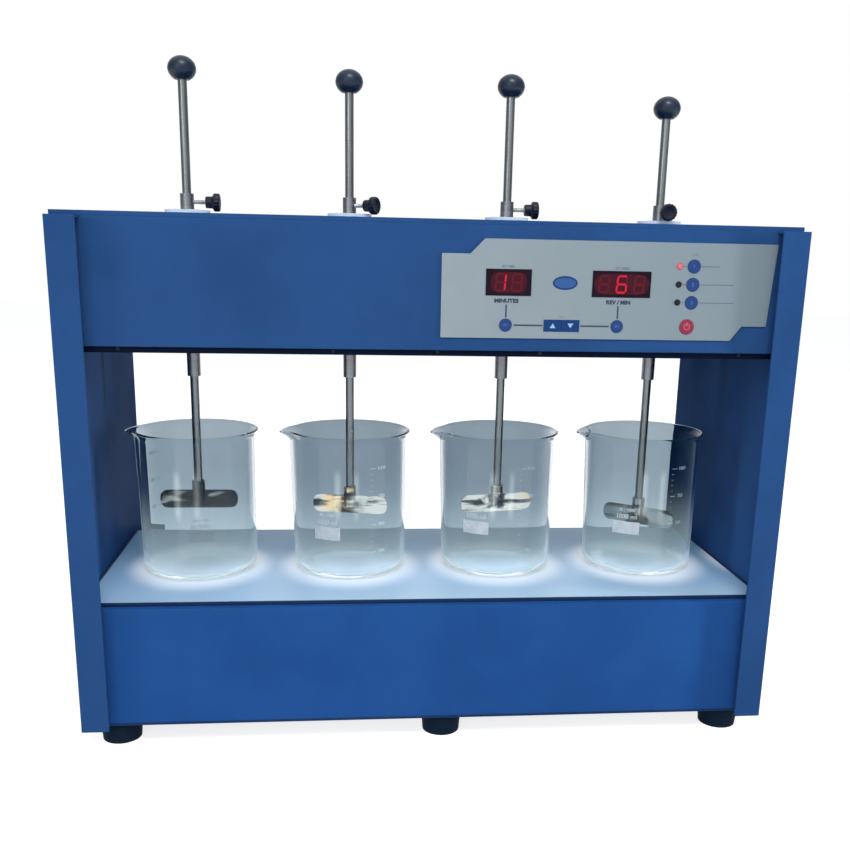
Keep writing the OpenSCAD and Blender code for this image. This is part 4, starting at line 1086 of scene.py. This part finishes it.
def segment(u, v, ends):
    """One bar with pointed ends between two corners of the digit's grid of 1 by 2 cells."""
    x0, y0, x1, y1 = ends
    start = np.array([(x0 - 0.5) * DIGIT_W, (y0 - 1) * DIGIT_H / 2])
    end = np.array([(x1 - 0.5) * DIGIT_W, (y1 - 1) * DIGIT_H / 2])
    way = (end - start) / np.linalg.norm(end - start)
    side = np.array([-way[1], way[0]]) * SEGMENT / 2
    gap = way * SEGMENT * 0.12
    tip = way * SEGMENT * 0.55
    shape = np.array([start + gap, start + tip + side, end - tip + side, end - gap,
                      end - tip - side, start + tip - side])
    return [(u + x + SLANT * y, v + y) for x, y in shape]


def digits(text, u, v, pitch):
    """Outlines of the lit and the dark segments of a row of digits."""
    bright, dull = [], []
    for k, sign in enumerate(text):
        at = u + (k - (len(text) - 1) / 2) * pitch
        for name, ends in SEGMENTS.items():
            (bright if name in LIT[sign] else dull).append(segment(at, v, ends))
        dull.append(oval(at + DIGIT_W * 0.62, v - DIGIT_H / 2, 0.0012, 0.0012, 12))
    return bright, dull


DISPLAY_V = float((display_low[2] + display_high[2]) / 2 - overlay_low[2])
FIELD_H = 0.0172
FIELDS = ((TIME_U, 0.0310), (SPEED_U, 0.0480))  # middle and width of the red field behind the digits
fields = [oval(u, DISPLAY_V, width, FIELD_H, 64, 0.35) for u, width in FIELDS]
plate_piece("display_fields", fields, WINDOW_Y, "cabinet", field_red)
bright, dull = digits("1 ", TIME_U, DISPLAY_V, 0.0140)
more_bright, more_dull = digits(" 6 ", SPEED_U, DISPLAY_V, 0.0152)
plate_piece("digits_lit", bright + more_bright, WINDOW_Y - INK, "cabinet", lit_red)
plate_piece("digits_dark", dull + more_dull, WINDOW_Y - INK, "cabinet", dim_red)
print("segments lit:", len(bright) + len(more_bright))

# %% [markdown]
# Each key's mark lies on its face and rides on the key, so it moves when the key is pressed.

# %% Marks on the keys


def ring_shape(u, v, width, inner, y):
    """Points and faces of a flat ring: two circles in front and two behind, joined in quads."""
    outer, hole = (np.array(oval(u, v, w, w)) for w in (width, inner))
    flat = np.vstack([outer, hole])
    count = len(outer)
    points = np.vstack([np.stack([flat[:, 0] + overlay_low[0], np.full(2 * count, y + d),
                                  flat[:, 1] + overlay_low[2]], axis=-1) for d in (-INK, INK)])
    k = np.arange(count)
    after = (k + 1) % count
    walls = [(0, 1), (3, 2), (2, 0), (1, 3)]  # front, back, outer and inner walls, by rows of points
    faces = np.vstack([np.stack([a * count + k, a * count + after, b * count + after, b * count + k], axis=-1)
                       for a, b in walls])
    return points, faces.tolist()


def key_word(name, text, node, height, ink_used):
    """Lettering on a key's face, moving with the key."""
    u, v = panel_uv(node)
    shape_piece(name, [word(text, u, v, height, float(box_of(node)[0][1]))], node, ink_used)


def triangle(u, v, width, height):
    """A triangle that points up, or down if height is negative."""
    return [(u - width / 2, v - height / 2), (u + width / 2, v - height / 2), (u, v + height / 2)]


KEY_Y = float(box_of("up_key")[0][1])
plate_piece("up_mark", [triangle(*up_uv, 0.0050, 0.0040)], KEY_Y, "up_key", white_ink)
plate_piece("down_mark", [triangle(*down_uv, 0.0050, -0.0040)], KEY_Y, "down_key", white_ink)
for node in ("time_key", "speed_key"):
    key_word(f"{node}_word", "SET", node, 0.0020, key_ink)
for number in (1, 2, 3):
    key_word(f"function_key_{number}_number", str(number), f"function_key_{number}", 0.0030, key_ink)
POWER_Y = float(box_of("power_key")[0][1])
power_ring = ring_shape(*power_uv, 0.0056, 0.0042, POWER_Y)
stroke = raised([bar(power_uv[0] - 0.0004, power_uv[1] + 0.0006, power_uv[0] + 0.0004, power_uv[1] + 0.0040)],
                POWER_Y - INK)
shape_piece("power_mark", [power_ring, stroke], "power_key", rose_ink)
print("keys marked")

# %% [markdown]
# ## Print on the jars
# Each jar carries a white scale and a matt white patch to write on. The ink is fired on to
# the outside, so flat artwork is wrapped round the wall: distance along the print becomes
# an angle, s / r, and the ink's thickness adds to the radius. Washing wears the ink, so a
# smudge mask thins it, and on the first jar it is nearly gone.

# %% Scales and patches
enamel = ink("fired_white_enamel", (0.70, 0.78, 0.84, 1), 0.45, cover=0.8)
faded_enamel = ink("faded_white_enamel", (0.40, 0.47, 0.52, 1), 0.45, cover=0.3)
PRINT_RADIUS = JAR_RADIUS + 0.00003
MARK_STEP = 0.0273  # height of a quarter of the scale
FULL_MARK = 0.1098  # height of the 1000 mark above the deck
MARK_START, NUMBER_AT = -0.0075, 0.0045  # along the wall from the scale's middle line
SCALE_TURN = math.radians(52)  # from the patch to the scale
PATCH_W, PATCH_H = 0.0265, 0.0125
PATCH_AT = {1: 0.0135, 2: 0.0465, 3: 0.0510, 4: 0.0500}  # height of each patch's middle above the deck
patch_turn = {1: math.radians(98), 2: math.radians(-114), 3: math.radians(-120), 4: math.radians(-119)}


def wrapped(points, turn, height, centre):
    """Flat (s, h, depth) points round a jar: angle = turn + s / r."""
    angle = turn + points[:, 0] / JAR_RADIUS
    radius = PRINT_RADIUS + points[:, 2]
    return np.stack([centre[0] + radius * np.cos(angle), centre[1] + radius * np.sin(angle),
                     deck_z + height + points[:, 1]], axis=-1)


def strip(s0, h0, s1, h1, across=10):
    """A flat bar of ink, cut across so that it can bend round the wall."""
    s = np.linspace(s0, s1, across)
    corners = [(h0, -INK), (h1, -INK), (h1, INK), (h0, INK)]
    ring = np.array([[[a, h, d] for h, d in corners] for a in s])
    sides = grid_faces(across, 4, True)
    ends = [[0, 1, 2, 3], [4 * across - 1, 4 * across - 2, 4 * across - 3, 4 * across - 4]]
    return ring.reshape(-1, 3), sides + ends


def scale_marks():
    """Short and long marks of the scale, in flat artwork about its middle line, and where its numbers go."""
    shapes, numbers = [], []
    for k in range(2, 21):
        height = FULL_MARK - (20 - k) * MARK_STEP / 5
        long = k % 5 == 0
        half = 0.00025 if long else 0.00012
        reach = 0.0060 if long else 0.0022
        shapes.append(strip(MARK_START, height - half, MARK_START + reach, height + half, 4))
        if long:
            numbers.append((str(50 * k), height))
    return shapes, numbers


for i, x in zip(PLACES, axis_x):
    turn, centre = patch_turn[i], (x, axis_y)
    shapes, numbers = scale_marks()
    scale_at = turn + SCALE_TURN
    made = [(wrapped(points, scale_at, 0, centre), faces) for points, faces in shapes]
    for text, height in numbers:
        points, faces = letters(text, 0.0034, 0.00006)
        points[:, 0] += NUMBER_AT
        made.append((wrapped(points, scale_at, height, centre), faces))
    points, faces = strip(-PATCH_W / 2, -PATCH_H / 2, PATCH_W / 2, PATCH_H / 2, 16)
    made.append((wrapped(points, turn, PATCH_AT[i], centre), faces))
    for text, above, size in (("1000 ml", 0.0112, 0.0046), ("50 - 1000", 0.0180, 0.0030)):
        points, faces = letters(text, size, 0.0001)
        made.append((wrapped(points, turn, PATCH_AT[i] + above, centre), faces))
    shape_piece(f"jar_print_{i}", made, f"jar_{i}", faded_enamel if i == 1 else enamel)
print("scales from 100 to 1000 on", len(PLACES), "jars")

# %% [markdown]
# ## Small trim
# A dark strip lies along the front edge of the acrylic deck, and a dark strip along the
# lower edge of the base, where the front sheet meets the bottom, is a painted shadow of that
# fold. Both are long bars with bevelled edges, so one outline is carried along x. A bead of
# dark sealer in the same paint closes the joint between the deck and each wall.

# %% Strips
STRIP_GAP = 0.00005  # how far a strip sinks in or stands off
SEAL = 0.0022  # width of the seal between the deck and each wall


def long_bar(x_ends, y_back, z_low, z_high, thickness, bevel):
    """An eight-cornered outline in the (y, z) plane, carried from one x to the other."""
    y, z = y_back - thickness / 2, (z_low + z_high) / 2
    half_y, half_z = thickness / 2, (z_high - z_low) / 2
    signs = np.array([(1, -1, 0), (1, -1, 1), (-1, -1, 1), (-1, -1, 0),
                      (-1, 1, 0), (-1, 1, 1), (1, 1, 1), (1, 1, 0)])
    cut_y, cut_z = bevel * signs[:, 2], bevel * (1 - signs[:, 2])
    ring = np.stack([y + signs[:, 0] * (half_y - cut_y), z + signs[:, 1] * (half_z - cut_z)], axis=-1)
    points = np.vstack([np.insert(ring, 0, x, axis=1) for x in x_ends])
    return points, grid_faces(2, 8, True) + [list(range(8)), list(range(15, 7, -1))]


# navy paint for the deck's edging and seal, and for the painted shadow along the base
navy_paint = powder_coat("navy_edging_and_painted_shadow", (0.012, 0.034, 0.100, 1), (0.05, 0.1, 0.22, 1), 0.5, 0.1)
base_low, base_high = box_of("base_pan")
deck_strip = long_bar((deck_low[0] + 0.0002, deck_high[0] - 0.0002), deck_low[1] - STRIP_GAP,
                      deck_low[2] + 0.0001, deck_high[2] - 0.0002, 0.0007, 0.0003)
bead = np.array([(-0.5, 0.0), (-0.5, 0.35), (0.0, 0.5), (0.5, 0.35), (0.5, 0.0)]) * SEAL
side_strips = []
for x in (deck_low[0] + SEAL / 2 + 0.0002, deck_high[0] - SEAL / 2 - 0.0002):
    points = np.array([[x + s, y, deck_high[2] + h - STRIP_GAP]
                       for y in (deck_low[1] + 0.0005, deck_high[1] - 0.0005) for s, h in bead])
    side_strips.append((points, grid_faces(2, 5, True) + [[0, 1, 2, 3, 4], [9, 8, 7, 6, 5]]))
shape_piece("deck_seal", side_strips, "cabinet", navy_paint)
shape_piece("deck_edging", [deck_strip], "cabinet", navy_paint)
# painted shadow: a dark strip along the base's lower edge, where the fold meets the bottom
fold_shadow_strip = long_bar((base_low[0] + 0.0002, base_high[0] - 0.0002), base_low[1] - STRIP_GAP,
                      base_low[2] + 0.0010, base_low[2] + 0.0026, 0.0006, 0.0002)
shape_piece("base_fold_painted_shadow", [fold_shadow_strip], "cabinet", navy_paint)
print("strips:", [round(float(v), 4) for v in (deck_low[1], base_low[1])])

# %% [markdown]
# The screws have round pan heads with a cross recess. A pan head is a turned profile, and the
# recess is a smooth pit in its top: the depth is the larger of two crossed slots, each slot
# the product of a long bump and a narrow one. Where each screw stands, and which way it
# points, is read from its CAD solid.

# %% Where the screws stand


def islands(node):
    """The points of each separate solid in a node's mesh.

    Every point starts with its own number. Each triangle gives its corners the lowest number
    among them, again and again, until each solid has one number.
    """
    mesh = frame["nodes"][node].data
    points, corners = np.zeros(len(mesh.vertices) * 3), np.zeros(len(mesh.loops), int)
    mesh.vertices.foreach_get("co", points)
    mesh.loops.foreach_get("vertex_index", corners)
    places, same = np.unique(np.round(points.reshape(-1, 3), 6), axis=0, return_inverse=True)
    triangles = same.reshape(-1)[corners.reshape(-1, 3)]
    number = np.arange(len(places))
    settled = False
    while not settled:
        lower = number.copy()
        np.minimum.at(lower, triangles.ravel(), np.repeat(number[triangles].min(axis=1), 3))
        settled = bool((lower == number).all())
        number = lower
    return [places[number == k] for k in np.unique(number)]


def screw_facts(points):
    """A screw's axis, foot and sizes: the axis is the side of its box that differs from the other two."""
    low, high = points.min(axis=0), points.max(axis=0)
    size = high - low
    axis = int(np.argmax(np.abs(size - np.median(size))))
    centre = (low + high) / 2
    along = points[:, axis]
    reach = np.linalg.norm(np.delete(points - centre, axis, axis=1), axis=1)
    under = along[reach > reach.max() * 0.97]
    way = 1.0 if under.mean() > centre[axis] else -1.0
    seat, tip, top = (under.min(), low[axis], high[axis]) if way > 0 else (under.max(), high[axis], low[axis])
    shank = reach[np.abs(along - tip) < 1e-5].max()
    return {"axis": axis, "way": way, "centre": centre, "seat": float(seat), "head": float(reach.max()),
            "height": float(abs(top - seat)), "shank": float(shank), "length": float(size[axis])}


screws = [screw_facts(points) for points in islands("case_screws")]
head_radii = sorted({round(screw["head"] * 1000, 2) for screw in screws})
print("screws:", len(screws), "head radii", head_radii, "mm")

# %% Pan-head screws
SLOT_LENGTH, SLOT_WIDTH, SLOT_DEPTH = 0.62, 0.17, 0.55  # shares of the head's radius and height


def screw_mesh(screw):
    """The screw's turned profile with its cross recess, turned to its axis and put in its place."""
    head, height, shank = screw["head"], screw["height"], screw["shank"]
    tip = height - screw["length"]
    turn = np.radians(np.linspace(0, 90, 8))
    bend = 0.42  # share of the head's radius that is rounded off
    rim = np.stack([head * (1 - bend + bend * np.cos(turn)), height * (0.35 + 0.60 * np.sin(turn))], axis=-1)
    inner = np.linspace(1 - bend, 0, 12)[1:]
    top = np.stack([head * inner, height * (1.0 - 0.05 * (inner / (1 - bend)) ** 2)], axis=-1)
    profile = path([0, tip], [shank, tip], [shank, 0], [head * 0.96, 0], [head, height * 0.06], rim, top)

    def press_cross(radius, angle, z):
        """Depth = D max(s(x) t(y), s(y) t(x)), with s a long bump and t a narrow one."""
        x, y = radius * np.cos(angle) / head, radius * np.sin(angle) / head
        long_x, long_y = (1 - ease(SLOT_LENGTH * 0.8, SLOT_LENGTH, np.abs(c)) for c in (x, y))
        thin_x, thin_y = (1 - ease(SLOT_WIDTH * 0.6, SLOT_WIDTH, np.abs(c)) for c in (x, y))
        on_top = z > height * 0.9
        return radius, z - SLOT_DEPTH * height * np.maximum(long_x * thin_y, long_y * thin_x) * on_top

    points, faces = turned(profile, 48, press_cross)
    ahead = Vector([0, 0, 0])
    ahead[screw["axis"]] = screw["way"]
    turned_to = np.array(Vector((0, 0, 1)).rotation_difference(ahead).to_matrix())
    place = screw["centre"].copy()
    place[screw["axis"]] = screw["seat"]
    return points @ turned_to.T + place, faces


def screw_piece(name, some_screws, material):
    """One piece from several screws, riding on the cabinet."""
    points, faces = join_shapes([screw_mesh(screw) for screw in some_screws])
    piece = link_mesh(name, points, faces, "cabinet", material)
    return piece


smallest = min(screw["head"] for screw in screws)
lip_screws = [screw for screw in screws if screw["head"] < smallest * 1.05]
other_screws = [screw for screw in screws if screw["head"] >= smallest * 1.05]
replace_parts(screw_piece("pan_head_screws", other_screws, screw_steel), "case_screws")
screw_piece("lip_screws", lip_screws, black_steel)
print("pan heads:", len(other_screws), "bright and", len(lip_screws), "dark")

# %% [markdown]
# ## Room
# The object stands on a pale floor in an even, bright room. The room's light comes from the
# world, one soft box high up, one in front on the left, one behind, and a tall one on each
# side. The two at the sides are there for the front of the wall across the bay. They and the
# one behind aren't mirrored, because a lamp would draw a hard line on a rod. The eye and rays
# through glass see plain white. Reflections see it too, dimmer towards the sides, because a
# round bar shows its roundness only where the room it mirrors changes.

# %% Floor, world and lamps
ROOM_LIGHT = 0.40
SIDE_START, SIDE_FULL, SIDE_LIGHT = 0.35, 0.95, 0.30  # how the mirrored room dims towards its sides


def white_floor():
    """A large plain sheet. It glows a little for the eye, so that it meets the white world unseen."""
    half = 8.0
    mesh = bpy.data.meshes.new("floor")
    corners = [(-half, -half, 0), (half, -half, 0), (half, half, 0), (-half, half, 0)]
    mesh.from_pydata(corners, [], [(0, 1, 2, 3)])
    material = bpy.data.materials.new("floor_white")
    tree = empty_tree(material)
    seen = put(tree, "LightPath").outputs
    eye = sums(tree, "MAXIMUM", sums(tree, "MAXIMUM", seen["Is Camera Ray"], seen["Is Glossy Ray"]),
               seen["Is Transmission Ray"])
    paper = put(tree, "BsdfDiffuse", {"Color": grey(0.48)})
    glow = put(tree, "Emission", {"Color": grey(1.0), "Strength": sums(tree, "MULTIPLY", eye, 0.80)})
    both = put(tree, "AddShader", {0: paper.outputs[0], 1: glow.outputs[0]})
    put(tree, "OutputMaterial", {"Surface": both.outputs[0]})
    mesh.materials.append(material)
    floor = add_object("floor", mesh)


def white_world():
    """White to the eye and through glass; softer as light on the object, and dim at the sides."""
    world = bpy.data.worlds.new("studio")
    tree = empty_tree(world)
    seen = put(tree, "LightPath").outputs
    eye = sums(tree, "MAXIMUM", seen["Is Camera Ray"], seen["Is Transmission Ray"])
    way = put(tree, "SeparateXYZ", {0: put(tree, "TexCoord").outputs["Generated"]}).outputs
    aside = sums(tree, "ABSOLUTE", way[0])
    mirrored = between(tree, aside, SIDE_START, SIDE_FULL, 1.0, SIDE_LIGHT)
    light = put(tree, "Background", {"Color": (0.93, 0.97, 1.0, 1), "Strength": ROOM_LIGHT})
    walls = put(tree, "Background", {"Color": grey(1.0), "Strength": mirrored})
    white = put(tree, "Background", {"Color": grey(1.0), "Strength": 1.0})
    room = put(tree, "MixShader", {0: seen["Is Glossy Ray"], 1: light.outputs[0], 2: walls.outputs[0]})
    both = put(tree, "MixShader", {0: eye, 1: room.outputs[0], 2: white.outputs[0]})
    put(tree, "OutputWorld", {"Surface": both.outputs[0]})
    bpy.context.scene.world = world


white_floor()
white_world()


def soft_box(name, place, target, width, height, power, mirrored=True):
    """An area lamp that looks at a point, and that shiny pieces mirror or not."""
    lamp = bpy.data.lights.new(name, "AREA")
    lamp.shape = "RECTANGLE"
    lamp.size, lamp.size_y = width, height
    lamp.energy = power
    holder = add_object(name, lamp)
    holder.location = place
    way = Vector(target) - Vector(place)
    holder.rotation_euler = way.to_track_quat("-Z", "Y").to_euler()
    holder.visible_glossy = mirrored


soft_box("high_lamp", (0.05, -1.35, 2.3), (0, -0.1, 0.15), 0.9, 0.8, 34)
soft_box("front_lamp", (-1.4, -2.4, 1.2), (0, 0, 0.3), 1.0, 1.2, 11)
soft_box("left_lamp", (-1.6, -0.62, 0.5), (0.3, -0.12, 0.3), 0.35, 0.9, 8, mirrored=False)
soft_box("right_lamp", (1.6, -0.58, 0.45), (-0.3, -0.14, 0.28), 0.15, 0.9, 15, mirrored=False)
soft_box("back_lamp", (0.3, 2.6, 1.5), (0, 0, 0.3), 1.2, 1.2, 16, mirrored=False)
print("lamps:", [lamp.name for lamp in bpy.data.lights])
